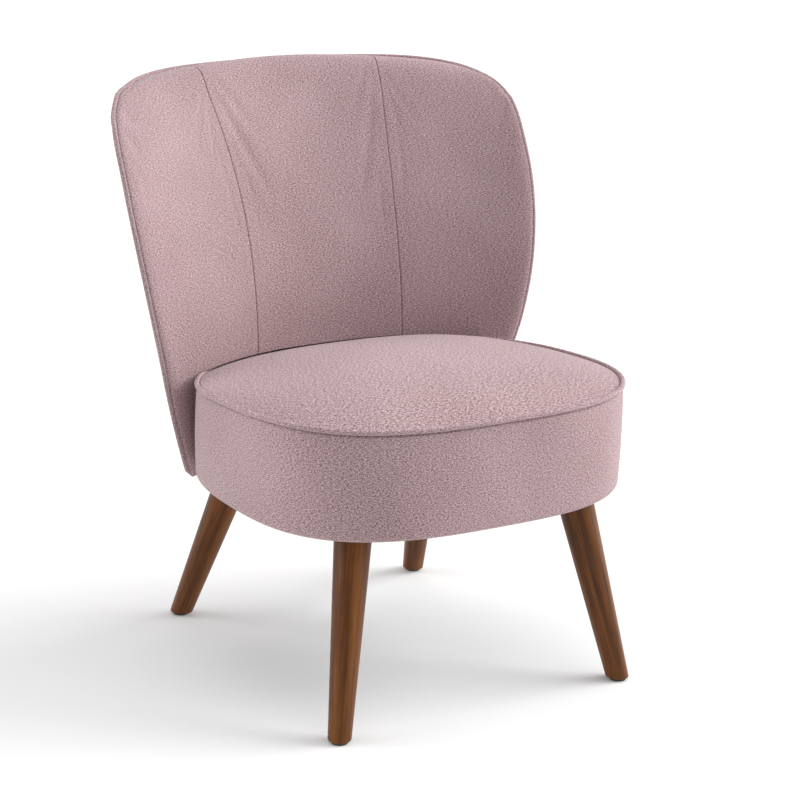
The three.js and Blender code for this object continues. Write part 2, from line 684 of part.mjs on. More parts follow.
function backFoam() {
  const body = backLayer({
    ...within(FOAM_MARGIN), front: behindFront(LINING_DEPTH), rear: beforeRear(LINING_DEPTH),
  });
  const shellRoom = backLayer({
    ...within(SHELL_MARGIN), grow: 2 * LAYER_GAP,
    front: beforeRear(SHELL_FRONT_DEPTH + LAYER_GAP), rear: beforeRear(-1),
  });
  const waddingRoom = backLayer({
    ...within(WADDING_MARGIN), grow: 2 * LAYER_GAP,
    front: beforeRear(SHELL_REAR_DEPTH), rear: beforeRear(-1),
  });
  return cut(body, shellRoom, waddingRoom, seatCut, pipingRoom, ...backBoltHoles);
}

// ---------------------------------------------------------------- legs and fasteners
// A tapered round leg along its slanted axis, cut level at both ends, with a hole for its bolt.
function leg({ foot, socket, side }) {
  const bottom = new THREE.Vector3(side * foot.x, foot.y, 0);
  const top = new THREE.Vector3(side * socket.x, socket.y, LEG_TOP);
  const axis = top.clone().sub(bottom);
  const taper = LEG_TOP_RADIUS - LEG_FOOT_RADIUS;
  const turned = new THREE.CylinderGeometry(
    LEG_TOP_RADIUS + SPARE * taper, LEG_FOOT_RADIUS - SPARE * taper,
    axis.length() * (1 + 2 * SPARE), ROUND_STEPS,
  );
  const turn = new THREE.Quaternion().setFromUnitVectors(
    new THREE.Vector3(0, 1, 0), axis.clone().normalize(),
  );
  const middle = bottom.clone().add(top).multiplyScalar(0.5);
  turned.applyQuaternion(turn).translate(middle.x, middle.y, middle.z);
  const floor = GLIDE_HEIGHT + GAP;
  const wide = 4 * SEAT_HALF_WIDTH;
  const level = new THREE.BoxGeometry(wide, wide, LEG_TOP - floor);
  level.translate(0, 0, (LEG_TOP + floor) / 2);
  const hole = post(top.x, top.y, LEG_TOP - BOLT_IN_LEG - GAP, LEG_TOP + 1, BOLT_RADIUS + GAP);
  return surface(solid(closed(turned)).intersect(solid(closed(level))).subtract(solid(hole)));
}

function glide({ foot, socket, side }) {
  const share = GLIDE_HEIGHT / LEG_TOP;
  const x = side * mix(foot.x, socket.x, share);
  const y = mix(foot.y, socket.y, share);
  return post(x, y, 0, GLIDE_HEIGHT, GLIDE_RADIUS, ROUND_STEPS);
}

function legBolt(s) {
  return post(legBoltX(s), s.socket.y, LEG_TOP - BOLT_IN_LEG, BOARD_TOP + GAP, BOLT_RADIUS);
}

// A tee nut standing on z = 0: a flange, and a barrel that hangs below it.
function teeNut(barrel) {
  const bore = BOLT_RADIUS + GAP;
  const section = [
    [bore, -barrel], [NUT_RADIUS, -barrel], [NUT_RADIUS, 0], [NUT_FLANGE_RADIUS, 0],
    [NUT_FLANGE_RADIUS, NUT_FLANGE], [bore, NUT_FLANGE], [bore, -barrel],
  ].map(([r, h]) => new THREE.Vector2(r, h));
  return new THREE.LatheGeometry(section, SMALL_STEPS).rotateX(Math.PI / 2);
}

function legNut(s) {
  const nut = teeNut(BOARD_THICKNESS * BARREL_SHARE);
  return closed(nut.translate(legBoltX(s), s.socket.y, BOARD_TOP + GAP));
}

// Depth of the shell's rear face at a place given by x and z.
function shellRearAt(x, z) {
  const v = (z - BACK_BOTTOM) / (BACK_EDGE_TOP - BACK_BOTTOM);
  return backPlace(x / rimHalfWidth(z), v).rear - SHELL_REAR_DEPTH;
}

function backBolt({ x, z }) {
  const seatFace = outlineDepth(Math.abs(x) + HEAD_RADIUS, RIM_INNER, 1) - GAP;
  const tail = shellRearAt(x, z) + BOLT_TAIL;
  const section = [
    [0, seatFace - HEAD_HEIGHT], [HEAD_RADIUS, seatFace - HEAD_HEIGHT], [HEAD_RADIUS, seatFace],
    [BOLT_RADIUS, seatFace], [BOLT_RADIUS, tail], [0, tail],
  ].map(([r, h]) => new THREE.Vector2(r, h));
  return closed(new THREE.LatheGeometry(section, SMALL_STEPS).translate(x, 0, z));
}

// ---------------------------------------------------------------- assembly
add('seat_board', seatBoard(), finishes.plywood);
add('seat_rim', seatRim(), finishes.plywood);
addRimBlocks();
for (let i = 0; i < LONG_STRAPS; i += 1) {
  add(`long_strap_${i + 1}`, longStrap(i), finishes.webbing);
}
for (let i = 0; i < CROSS_STRAPS; i += 1) {
  add(`cross_strap_${i + 1}`, crossStrap(i), finishes.webbing);
}
add('seat_foam', seatFoam(), finishes.foam);
add('seat_side_foam', seatSideFoam(), finishes.foam);
add('seat_top_cover', seatTopCover(), finishes.fabric);
add('seat_band_cover', seatBandCover(), finishes.fabric);
add('seat_piping', seatPiping(), finishes.piping);
const lining = plate(DUST_COVER_INSET, SEAT_UNDERSIDE, DUST_COVER);
add('dust_cover', cut(lining, ...liningHoles), finishes.lining);

add('back_shell', backShell(), finishes.plywood);
add('back_foam', backFoam(), finishes.foam);
add('back_rear_wadding', rearWadding(), finishes.wadding);
const panelEdge = shareIn(COVER_MARGIN);
add('back_left_panel', frontPanel(-panelEdge, -SEAM_STATION), finishes.fabric);
add('back_centre_panel', frontPanel(-SEAM_STATION, SEAM_STATION), finishes.fabric);
add('back_right_panel', frontPanel(SEAM_STATION, panelEdge), finishes.fabric);
add('back_outer_cover', outerCover(), finishes.fabric);
add('back_piping', backPiping(PIPING_RADIUS), finishes.piping);

for (const s of sockets) {
  add(`leg_${s.name}`, leg(s), finishes.wood);
  add(`leg_bolt_${s.name}`, legBolt(s), finishes.steel);
  add(`leg_nut_${s.name}`, legNut(s), finishes.steel);
  add(`glide_${s.name}`, glide(s), finishes.nylon);
}
backBolts.forEach((place, i) => {
  add(`back_bolt_${i + 1}`, backBolt(place), finishes.steel);
});

const box = new THREE.Box3().setFromObject(chair);
chair.position.y = -(box.min.y + box.max.y) / 2;

export default chair;
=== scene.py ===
"""Armless upholstered chair: the looks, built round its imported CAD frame.

Every visible soft piece is modelled here as cloth over padding, the legs are turned and stained,
and the pieces inside the chair keep their CAD meshes and get materials of their own.
"""

import logging
import math
from collections.abc import Callable, Iterable
from dataclasses import dataclass, field
from enum import Enum

import bpy
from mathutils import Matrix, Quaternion, Vector


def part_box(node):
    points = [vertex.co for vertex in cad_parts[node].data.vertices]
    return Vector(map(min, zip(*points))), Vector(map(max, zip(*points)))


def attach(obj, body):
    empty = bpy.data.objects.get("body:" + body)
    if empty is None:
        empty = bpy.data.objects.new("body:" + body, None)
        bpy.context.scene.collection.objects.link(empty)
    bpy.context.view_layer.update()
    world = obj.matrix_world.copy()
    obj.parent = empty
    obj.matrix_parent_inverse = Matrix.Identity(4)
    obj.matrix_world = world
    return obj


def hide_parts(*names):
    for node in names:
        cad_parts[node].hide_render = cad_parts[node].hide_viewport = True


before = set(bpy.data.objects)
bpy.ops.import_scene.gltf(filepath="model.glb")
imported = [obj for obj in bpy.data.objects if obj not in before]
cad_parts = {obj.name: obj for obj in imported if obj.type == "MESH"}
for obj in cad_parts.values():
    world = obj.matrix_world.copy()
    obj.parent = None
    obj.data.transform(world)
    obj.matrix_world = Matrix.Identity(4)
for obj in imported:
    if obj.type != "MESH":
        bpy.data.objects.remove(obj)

log = logging.getLogger("chair")
BODY = "root"
CLOTH_MAP = "weave"
GRAIN_MAP = "grain"
# Lengths in metres: as good as nothing, one and the same point, a tool's nudge off a face, and how
# far the outer cover hangs below its CAD node.
TINY = 1e-9
WELD = 1e-6
NUDGE = 2e-5
UNDERSIDE_FOLD = 0.004
# Angles in degrees above which an edge stays sharp in the shading.
COVER_CREASE = 50.0
CORD_CREASE = 60.0
LINING_CREASE = 40.0
LEG_CREASE = 35.0


# ---------------------------------------------------------------- small helpers
def mix(a: float, b: float, t: float) -> float:
    """The value a share t of the way from a to b."""
    return a + (b - a) * t


def clamp01(t: float) -> float:
    """t, kept between 0 and 1."""
    return min(1.0, max(0.0, t))


def smooth(t: float) -> float:
    """A soft step from 0 to 1 while t goes from 0 to 1."""
    t = clamp01(t)
    return t * t * (3 - 2 * t)


def turned_edge(distance: float, radius: float) -> float:
    """How far a rounded edge has dropped away, at a distance in from that edge.

    Args:
        distance: distance in from the edge.
        radius: radius of the rounding.

    Returns:
        The drop, from radius at the edge to 0 at that radius in from it.
    """
    share = clamp01(1 - distance / radius)
    return radius * (1 - math.sqrt(max(0.0, 1 - share * share)))


def eased(count: int) -> list[float]:
    """Shares from 0 to 1 in count steps that crowd together towards both ends."""
    return [0.5 - 0.5 * math.cos(math.pi * i / count) for i in range(count + 1)]


def linear(level: int) -> float:
    """The share of light that a level from 0 to 255 stands for, by the sRGB standard's curve."""
    share = level / 255
    return share / 12.92 if share <= 0.04045 else ((share + 0.055) / 1.055) ** 2.4


def srgb(red: int, green: int, blue: int) -> tuple[float, float, float, float]:
    """A colour given as on a paint card, from 0 to 255, as the linear colour that shaders use."""
    return linear(red), linear(green), linear(blue), 1.0


def quarter(steps: int) -> list[float]:
    """Angles of a quarter turn in a number of steps, both ends included."""
    return [math.pi / 2 * i / steps for i in range(steps + 1)]


def full_turn(steps: int) -> list[float]:
    """Angles of a whole turn in a number of steps, both ends included."""
    return [2 * math.pi * i / steps for i in range(steps + 1)]


# ---------------------------------------------------------------- shader maths
class Wire:
    """An output socket of a shader, on which arithmetic adds Math nodes."""

    def __init__(self, shader: "Shader", socket: bpy.types.NodeSocket) -> None:
        """Keeps the shader that the socket belongs to."""
        self.shader = shader
        self.socket = socket

    def _math(self, operation: str, first: "Wire | float", second: "Wire | float" = 0.0) -> "Wire":
        """Adds a Math node.

        Args:
            operation: the Math node's operation.
            first: its first value.
            second: its second value.

        Returns:
            The node's output.
        """
        return self.shader.node("ShaderNodeMath", {"operation": operation}, {0: first, 1: second})

    def __add__(self, other: "Wire | float") -> "Wire":
        """self + other."""
        return self._math("ADD", self, other)

    __radd__ = __add__

    def __sub__(self, other: "Wire | float") -> "Wire":
        """self - other."""
        return self._math("SUBTRACT", self, other)

    def __rsub__(self, other: "Wire | float") -> "Wire":
        """other - self."""
        return self._math("SUBTRACT", other, self)

    def __mul__(self, other: "Wire | float") -> "Wire":
        """self * other."""
        return self._math("MULTIPLY", self, other)

    __rmul__ = __mul__

    def sine(self) -> "Wire":
        """The sine of self, in radians."""
        return self._math("SINE", self)

    def above(self, level: "Wire | float") -> "Wire":
        """1 where self is above a level, else 0."""
        return self._math("GREATER_THAN", self, level)


class Shader:
    """A material's node tree, with one method that adds any node."""

    def __init__(self, name: str) -> None:
        """Makes a material with an empty tree."""
        self.material = bpy.data.materials.new(name)
        self.material.use_nodes = True
        self.tree = self.material.node_tree
        self.tree.nodes.clear()

    def node(self, kind: str, settings: dict | None = None, sockets: dict | None = None,
             out: int | str = 0) -> Wire:
        """Adds a node.

        Args:
            kind: the node's type.
            settings: its own properties, set first; "stops" are a ramp's (position, colour) pairs.
            sockets: a value or a Wire for each of its inputs, by name or number.
            out: which output to return.

        Returns:
            That output.
        """
        made = self.tree.nodes.new(kind)
        for name, value in (settings or {}).items():
            if name == "stops":
                self._set_stops(made.color_ramp, value)
            else:
                setattr(made, name, value)
        for name, value in (sockets or {}).items():
            if isinstance(value, Wire):
                self.tree.links.new(value.socket, made.inputs[name])
            else:
                made.inputs[name].default_value = value
        return Wire(self, made.outputs[out])

    @staticmethod
    def _set_stops(ramp: bpy.types.ColorRamp, stops: Iterable[tuple[float, tuple]]) -> None:
        """Sets a colour ramp's stops.

        Args:
            ramp: the ramp.
            stops: its (position, colour) pairs.
        """
        places = list(stops)
        while len(ramp.elements) < len(places):
            ramp.elements.new(1.0)
        for element, (position, colour) in zip(ramp.elements, places):
            element.position = position
            element.color = colour

    def surface_map(self, name: str) -> Wire:
        """The vector that a piece carries under a name."""
        return self.node("ShaderNodeAttribute", {"attribute_name": name}, out="Vector")

    def place(self) -> Wire:
        """The place on the object, in metres."""
        return self.node("ShaderNodeTexCoord", out="Object")

    def scaled(self, vector: Wire, scale: tuple) -> Wire:
        """A vector with each of its parts scaled."""
        return self.node("ShaderNodeVectorMath", {"operation": "MULTIPLY"}, {0: vector, 1: scale})

    def parts(self, vector: Wire) -> tuple[Wire, Wire, Wire]:
        """A vector's X, Y and Z."""
        split = self.node("ShaderNodeSeparateXYZ", {}, {0: vector}).socket.node
        return tuple(Wire(self, split.outputs[axis]) for axis in "XYZ")

    def noise(self, vector: Wire, scale: float, detail: float = 2.0,
              roughness: float = 0.5) -> Wire:
        """Noise of about one feature in each 1/scale of the vector, from 0 to 1."""
        sockets = {"Vector": vector, "Scale": scale, "Detail": detail, "Roughness": roughness}
        return self.node("ShaderNodeTexNoise", {}, sockets)

    def spread(self, value: Wire, low: float, high: float) -> Wire:
        """A value's range from low to high, stretched to 0 to 1 and cut off there."""
        return self.node("ShaderNodeMapRange", {"clamp": True},
                         {"Value": value, "From Min": low, "From Max": high})

    def blend(self, factor: Wire | float, a: Wire | tuple, b: Wire | tuple) -> Wire:
        """Colour a where the factor is 0 and b where it is 1."""
        return self.node("ShaderNodeMix", {"data_type": "RGBA"}, {0: factor, 6: a, 7: b}, out=2)

    def ramp(self, factor: Wire, stops: Iterable[tuple[float, tuple]]) -> Wire:
        """The colour of a ramp at a factor."""
        return self.node("ShaderNodeValToRGB", {"stops": stops}, {0: factor})

    def bump(self, height: Wire, distance: float, strength: float = 1.0) -> Wire:
        """The normal of a surface raised by a height from 0 to 1 times a distance in metres."""
        return self.node("ShaderNodeBump", {}, {"Height": height, "Distance": distance,
                                                "Strength": strength})

    def finish(self, **sockets: object) -> bpy.types.Material:
        """Closes the tree with one Principled shader.

        Args:
            **sockets: its sockets' values or Wires, with _ for each space in a name.

        Returns:
            The material.
        """
        named = {name.replace("_", " "): value for name, value in sockets.items()}
        surface = self.node("ShaderNodeBsdfPrincipled", {}, named, out="BSDF")
        output = self.tree.nodes.new("ShaderNodeOutputMaterial")
        self.tree.links.new(surface.socket, output.inputs["Surface"])
        return self.material


# ---------------------------------------------------------------- finishes
@dataclass(frozen=True)
class Cloth:
    """A mottled upholstery cloth in a fine twill, woven of light and dark yarns."""

    name: str = "blush_twill"
    light: tuple = srgb(214, 192, 194)
    middle: tuple = srgb(168, 139, 142)
    dark: tuple = srgb(96, 70, 74)
    yarn: float = 0.00095
    sheen: float = 0.22
    weft_scale: tuple = (320, 1050, 1)
    warp_scale: tuple = (1050, 380, 1)
    fleck_scale: tuple = (760, 760, 1)
    patch_scale: tuple = (7, 5, 1)
    fuzz_scale: tuple = (2600, 2600, 1)
    yarn_roughness: float = 0.6
    relief: float = 0.00045

    def make(self) -> bpy.types.Material:
        """Builds the cloth's material on the piece's own weave map, which is in metres.

        Returns:
            The material.
        """
        s = Shader(self.name)
        cloth = s.surface_map(CLOTH_MAP)
        across, along, _ = s.parts(cloth)
        turn = 2 * math.pi / self.yarn
        warp = (across * turn).sine()
        weft = (along * turn).sine()
        twill = ((across + along) * (turn / 2)).sine()
        weave = (warp * weft) * 0.35 + twill * 0.25 + 0.5
        weft_yarns, warp_yarns, flecks = (
            s.noise(s.scaled(cloth, scale), 1.0, 2.0, self.yarn_roughness)
            for scale in (self.weft_scale, self.warp_scale, self.fleck_scale)
        )
        melange = weft_yarns * 0.42 + warp_yarns * 0.26 + flecks * 0.32
        patches = s.noise(s.scaled(cloth, self.patch_scale), 1.0, 2.0)
        tone = s.spread(melange + (patches - 0.5) * 0.06 + (weave - 0.5) * 0.07, 0.41, 0.59)
        colour = s.ramp(tone, ((0.0, self.dark), (0.5, self.middle), (1.0, self.light)))
        fuzz = s.noise(s.scaled(cloth, self.fuzz_scale), 1.0, 2.0)
        height = weave * 0.55 + melange * 0.5 + fuzz * 0.2
        roughness = s.spread(melange, 0.2, 0.9) * 0.12 + 0.82
        return s.finish(
            Base_Color=colour, Roughness=roughness, Normal=s.bump(height, self.relief, 0.75),
            Sheen_Weight=self.sheen, Sheen_Roughness=0.45, Specular_IOR_Level=0.18,
        )


@dataclass(frozen=True)
class Walnut:
    """Turned wood, stained walnut brown under a satin varnish."""

    name: str = "stained_walnut"
    light: tuple = srgb(128, 78, 32)
    middle: tuple = srgb(96, 54, 20)
    dark: tuple = srgb(54, 29, 12)
    band_scale: tuple = (75, 75, 2.6)
    streak_scale: tuple = (420, 420, 9)
    pore_scale: tuple = (1500, 1500, 45)
    relief: float = 0.00025

    def make(self) -> bpy.types.Material:
        """Builds the wood's material on the piece's own grain map: Z runs along the grain.

        Returns:
            The material.
        """
        s = Shader(self.name)
        grain = s.surface_map(GRAIN_MAP)
        bands = s.noise(s.scaled(grain, self.band_scale), 1.0, 4.0, 0.55)
        streaks = s.noise(s.scaled(grain, self.streak_scale), 1.0, 4.0, 0.6)
        pores = s.noise(s.scaled(grain, self.pore_scale), 1.0, 2.0, 0.5)
        pore = s.spread(pores, 0.62, 0.74)
        tone = s.spread(bands * 0.62 + streaks * 0.38, 0.33, 0.67)
        stained = s.ramp(tone, ((0.0, self.dark), (0.48, self.middle), (1.0, self.light)))
        colour = s.blend(pore * 0.55, stained, self.dark)
        height = streaks * 0.3 - pore * 0.6
        return s.finish(
            Base_Color=colour, Roughness=0.36 + streaks * 0.14,
            Normal=s.bump(height, self.relief, 0.4), Specular_IOR_Level=0.22,
        )


@dataclass(frozen=True)
class PaleWood:
    """Unfinished wood of the frame, with its grain along one direction."""

    name: str
    light: tuple = srgb(222, 192, 146)
    dark: tuple = srgb(176, 136, 88)
    stretch: tuple = (6, 90, 90)
    plies: float = 0.0
    fineness: int = 6

    def make(self) -> bpy.types.Material:
        """Builds the wood's material, with ply lines on upright edges if it has plies.

        Returns:
            The material.
        """
        s = Shader(self.name)
        place = s.place()
        grain = s.noise(s.scaled(place, self.stretch), 1.0, 5.0, 0.6)
        fine_scale = tuple(self.fineness * k for k in self.stretch)
        fine = s.noise(s.scaled(place, fine_scale), 1.0, 3.0, 0.6)
        tone = s.spread(grain * 0.7 + fine * 0.3, 0.32, 0.68)
        colour = s.blend(tone, self.dark, self.light)
        if self.plies:
            height = s.parts(place)[2]
            ply = (height * (2 * math.pi / self.plies)).sine().above(0.2)
            colour = s.blend(ply * 0.22, colour, self.dark)
        return s.finish(Base_Color=colour, Roughness=0.6 + fine * 0.2,
                        Normal=s.bump(fine, 0.0003, 0.4))


@dataclass(frozen=True)
class Cellular:
    """Foam or wadding: a pale soft stuff with small cells or fibres."""

    name: str
    light: tuple
    dark: tuple
    cell: float
    cloud_scale: float = 14.0

    def make(self) -> bpy.types.Material:
        """Builds the material with open cells that take a darker tone.

        Returns:
            The material.
        """
        s = Shader(self.name)
        place = s.place()
        cells = s.node("ShaderNodeTexVoronoi", {}, {"Vector": place, "Scale": 1 / self.cell})
        clouds = s.noise(place, self.cloud_scale, 3.0)
        tone = s.spread(cells * 0.7 + clouds * 0.5, 0.2, 0.9)
        colour = s.blend(tone, self.light, self.dark)
        return s.finish(Base_Color=colour, Roughness=0.95, Normal=s.bump(cells, self.cell / 2, 0.5))


@dataclass(frozen=True)
class Webbing:
    """Elastic upholstery webbing: black rubber threads under a ribbed weave."""

    name: str = "elastic_webbing"
    thread: tuple = srgb(44, 43, 46)
    stripe: tuple = srgb(146, 58, 50)
    rib: float = 0.0032

    def make(self) -> bpy.types.Material:
        """Builds the ribbed material.

        Returns:
            The material.
        """
        s = Shader(self.name)
        x, y, _ = s.parts(s.place())
        turn = 2 * math.pi / self.rib
        ribs = ((x + y) * turn).sine() * ((x - y) * turn).sine()
        lint = s.noise(s.place(), 900.0, 2.0)
        colour = s.blend(s.spread(ribs + lint, 0.4, 1.6) * 0.4, self.thread, self.stripe)
        return s.finish(Base_Color=colour, Roughness=0.85, Normal=s.bump(ribs, 0.0004, 0.6))


@dataclass(frozen=True)
class Lining:
    """Black non-woven lining with its spot-bonded pattern."""

    name: str = "black_lining"
    thread: tuple = srgb(30, 29, 31)
    worn: tuple = srgb(52, 50, 52)
    bond: float = 0.0028
    fibre_scale: tuple = (300, 900, 300)

    def make(self) -> bpy.types.Material:
        """Builds the lining's material.

        Returns:
            The material.
        """
        s = Shader(self.name)
        place = s.place()
        x, y, _ = s.parts(place)
        turn = 2 * math.pi / self.bond
        spots = (x * turn).sine() * (y * turn).sine()
        fibres = s.noise(s.scaled(place, self.fibre_scale), 1.0, 4.0, 0.7)
        waves = s.noise(place, 11.0, 2.0)
        colour = s.blend(s.spread(fibres, 0.35, 0.7), self.thread, self.worn)
        return s.finish(Base_Color=colour, Roughness=0.8,
                        Normal=s.bump(spots * 0.2 + fibres * 0.3 + waves, 0.0012, 0.5))


@dataclass(frozen=True)
class Metal:
    """Bright zinc plate, a little clouded."""

    name: str = "zinc_plate"
    light: tuple = srgb(205, 207, 208)
    dark: tuple = srgb(152, 152, 148)

    def make(self) -> bpy.types.Material:
        """Builds the metal's material.

        Returns:
            The material.
        """
        s = Shader(self.name)
        clouds = s.noise(s.place(), 160.0, 4.0, 0.6)
        fine = s.noise(s.place(), 1400.0, 2.0)
        colour = s.blend(s.spread(clouds, 0.3, 0.7), self.dark, self.light)
        return s.finish(Base_Color=colour, Metallic=1.0, Roughness=0.28 + clouds * 0.2,
                        Normal=s.bump(fine, 0.0001, 0.4))


@dataclass(frozen=True)
class Moulded:
    """Dark nylon, matt from use."""

    name: str = "dark_nylon"
    base: tuple = srgb(44, 39, 36)
    scuffed: tuple = srgb(82, 76, 72)
    scuff_scale: tuple = (500, 90, 500)

    def make(self) -> bpy.types.Material:
        """Builds the plastic's material, scuffed in patches.

        Returns:
            The material.
        """
        s = Shader(self.name)
        marks = s.noise(s.scaled(s.place(), self.scuff_scale), 1.0, 4.0, 0.7)
        scuffs = s.spread(marks, 0.55, 0.75)
        colour = s.blend(scuffs, self.base, self.scuffed)
        return s.finish(Base_Color=colour, Roughness=0.42 + scuffs * 0.25,
                        Normal=s.bump(scuffs, 0.0001, 0.4))


@dataclass(frozen=True)
class Backdrop:
    """The pale studio floor."""

    name: str = "studio_floor"
    base: tuple = srgb(232, 232, 232)
    glow: float = 0.12

    def make(self) -> bpy.types.Material:
        """Builds the floor's material."""
        return Shader(self.name).finish(Base_Color=self.base, Roughness=0.9,
                                        Emission_Color=self.base, Emission_Strength=self.glow)


class Finish(Enum):
    """The chair's finishes."""

    CLOTH = Cloth()
    CORD = Cloth("blush_twill_bias", middle=srgb(168, 140, 144), yarn=0.0009)
    WALNUT = Walnut()
    PLYWOOD = PaleWood("birch_plywood", plies=0.003)
    PINE = PaleWood("sawn_pine", srgb(226, 190, 134), srgb(186, 138, 82), (90, 6, 90))
    FOAM = Cellular("seat_foam_cells", srgb(238, 228, 190), srgb(206, 190, 142), 0.0016)
    WADDING = Cellular("polyester_wadding", srgb(244, 243, 238), srgb(214, 212, 206), 0.004)
    WEBBING = Webbing()
    LINING = Lining()
    ZINC = Metal()
    NYLON = Moulded()
    FLOOR = Backdrop()


class Wardrobe:
    """Makes each finish once and puts it on pieces."""

    def __init__(self) -> None:
        """Starts with nothing made."""
        self.made: dict[Finish, bpy.types.Material] = {}

    def dress(self, piece: bpy.types.Object, finish: Finish) -> None:
        """Gives a piece one finish in place of whatever it had.

        Args:
            piece: the piece.
            finish: its finish.
        """
        if finish not in self.made:
            self.made[finish] = finish.value.make()
        if not piece.material_slots:
            piece.data.materials.append(self.made[finish])
        for slot in piece.material_slots:
            slot.material = self.made[finish]


# ---------------------------------------------------------------- modelling bench
class Bench:
    """Blender's tools, each with the piece on the bench as the only thing selected."""

    @staticmethod
    def clear() -> None:
        """Leaves edit mode and deselects everything."""
        if bpy.context.object and bpy.context.object.mode != "OBJECT":
            bpy.ops.object.mode_set(mode="OBJECT")
        bpy.ops.object.select_all(action="DESELECT")

    @classmethod
    def pick(cls, piece: bpy.types.Object) -> None:
        """Selects one piece and makes it active.

        Args:
            piece: the piece.
        """
        cls.clear()
        piece.select_set(True)
        bpy.context.view_layer.objects.active = piece

    @staticmethod
    def named(name: str) -> bpy.types.Object:
        """Names the piece that an operator has just made.

        Args:
            name: its name.

        Returns:
            The piece.
        """
        piece = bpy.context.object
        piece.name = name
        piece.data.name = name
        return piece

    @classmethod
    def sheet(cls, name: str, columns: list, rows: list, rule: Callable) -> bpy.types.Object:
        """Lays a grid out over a curved surface.

        Args:
            name: the piece's name.
            columns: the value of each upright line of the grid.
            rows: the value of each level line.
            rule: gives the place of a (column, row) pair.

        Returns:
            The sheet, open all round.
        """
        cls.clear()
        bpy.ops.mesh.primitive_grid_add(x_subdivisions=len(columns) - 1,
                                        y_subdivisions=len(rows) - 1, size=2)
        piece = cls.named(name)
        for vertex in piece.data.vertices:
            column = round((vertex.co.x + 1) / 2 * (len(columns) - 1))
            row = round((vertex.co.y + 1) / 2 * (len(rows) - 1))
            vertex.co = rule(columns[column], rows[row])
        return piece

    @classmethod
    def edit(cls, piece: bpy.types.Object, kind: str = "VERT") -> None:
        """Opens a piece in edit mode with all of it selected.

        Args:
            piece: the piece.
            kind: what is selected, "VERT" or "EDGE".
        """
        cls.pick(piece)
        bpy.ops.object.mode_set(mode="EDIT")
        bpy.ops.mesh.select_mode(type=kind)
        bpy.ops.mesh.select_all(action="SELECT")

    @classmethod
    def weld(cls, piece: bpy.types.Object) -> None:
        """Merges doubled points and turns a closed piece's faces outwards.

        Args:
            piece: the piece.
        """
        cls.edit(piece)
        bpy.ops.mesh.remove_doubles(threshold=WELD)
        bpy.ops.mesh.normals_make_consistent(inside=False)
        cls.clear()

    @classmethod
    def flip(cls, piece: bpy.types.Object) -> None:
        """Turns all faces over.

        Args:
            piece: the piece.
        """
        cls.edit(piece)
        bpy.ops.mesh.flip_normals()
        cls.clear()

    @classmethod
    def modify(cls, piece: bpy.types.Object, kind: str, **settings: object) -> None:
        """Adds a modifier and applies it.

        Args:
            piece: the piece.
            kind: the modifier's type.
            **settings: its settings.
        """
        cls.pick(piece)
        modifier = piece.modifiers.new(kind.lower(), kind)
        for name, value in settings.items():
            setattr(modifier, name, value)
        bpy.ops.object.modifier_apply(modifier=modifier.name)

    @classmethod
    def thicken(cls, piece: bpy.types.Object, thickness: float) -> None:
        """Gives a sheet a thickness behind its face."""
        cls.modify(piece, "SOLIDIFY", thickness=thickness, offset=-1.0)
        cls.weld(piece)

    @classmethod
    def carve(cls, piece: bpy.types.Object, tool: bpy.types.Object) -> None:
        """Cuts a tool's shape out of a piece, with a nudge to the tool if they touch face to face.

        Args:
            piece: the piece.
            tool: the tool, which stays.
        """
        uncut = piece.data.copy()
        cut = {"operation": "DIFFERENCE", "object": tool, "solver": "EXACT"}
        cls.modify(piece, "BOOLEAN", **cut)
        if not piece.data.polygons:
            piece.data = uncut
            tool.location.z += NUDGE
            cls.modify(piece, "BOOLEAN", **cut)

    @classmethod
    def soften(cls, piece: bpy.types.Object, angle: float) -> None:
        """Shades a piece smooth, apart from its sharp edges.

        Args:
            piece: the piece.
            angle: in degrees, above which an edge is sharp.
        """
        cls.pick(piece)
        bpy.ops.object.shade_smooth_by_angle(angle=math.radians(angle))
        cls.clear()

    @staticmethod
    def discard(piece: bpy.types.Object) -> None:
        """Removes a tool that is no longer needed."""
        bpy.data.objects.remove(piece, do_unlink=True)

    @staticmethod
    def map(piece: bpy.types.Object, name: str, rule: Callable[[Vector], tuple]) -> None:
        """Gives every point of a piece a vector worked out from its place.

        Args:
            piece: the piece.
            name: the vector's name.
            rule: gives the vector at a place.
        """
        layer = piece.data.attributes.new(name, "FLOAT_VECTOR", "POINT")
        for vertex, value in zip(piece.data.vertices, layer.data):
            value.vector = rule(vertex.co)


@dataclass
class Stuffing:
    """Padding under a cover: the cover is blown up as cloth, held at its edges."""

    pressure: float = 4.0
    frames: int = 20
    limit: float = 0.004
    stiffness: float = 25.0

    def fill(self, piece: bpy.types.Object, sewn: list[int]) -> None:
        """Swells a cover by cloth simulation and keeps the result as its mesh.

        Args:
            piece: the cover.
            sewn: the points of it that are sewn down.
        """
        Bench.pick(piece)
        group = piece.vertex_groups.new(name="sewn")
        group.add(sewn, 1.0, "REPLACE")
        cloth = piece.modifiers.new("cloth", "CLOTH")
        cloth.settings.vertex_group_mass = "sewn"
        cloth.settings.use_pressure = True
        cloth.settings.uniform_pressure_force = self.pressure
        cloth.settings.tension_stiffness = self.stiffness
        cloth.settings.compression_stiffness = self.stiffness
        cloth.settings.effector_weights.gravity = 0.0
        cloth.point_cache.frame_start = 1
        cloth.point_cache.frame_end = self.frames
        scene = bpy.context.scene
        for number in range(1, self.frames + 1):
            scene.frame_set(number)
        swollen = piece.evaluated_get(bpy.context.evaluated_depsgraph_get()).data
        places = [v.co.copy() for v in swollen.vertices]
        piece.modifiers.remove(cloth)
        piece.vertex_groups.remove(group)
        scene.frame_set(1)
        for vertex, place in zip(piece.data.vertices, places):
            move = place - vertex.co
            if move.length > TINY:
                vertex.co += move * (self.limit * math.tanh(move.length / self.limit) / move.length)


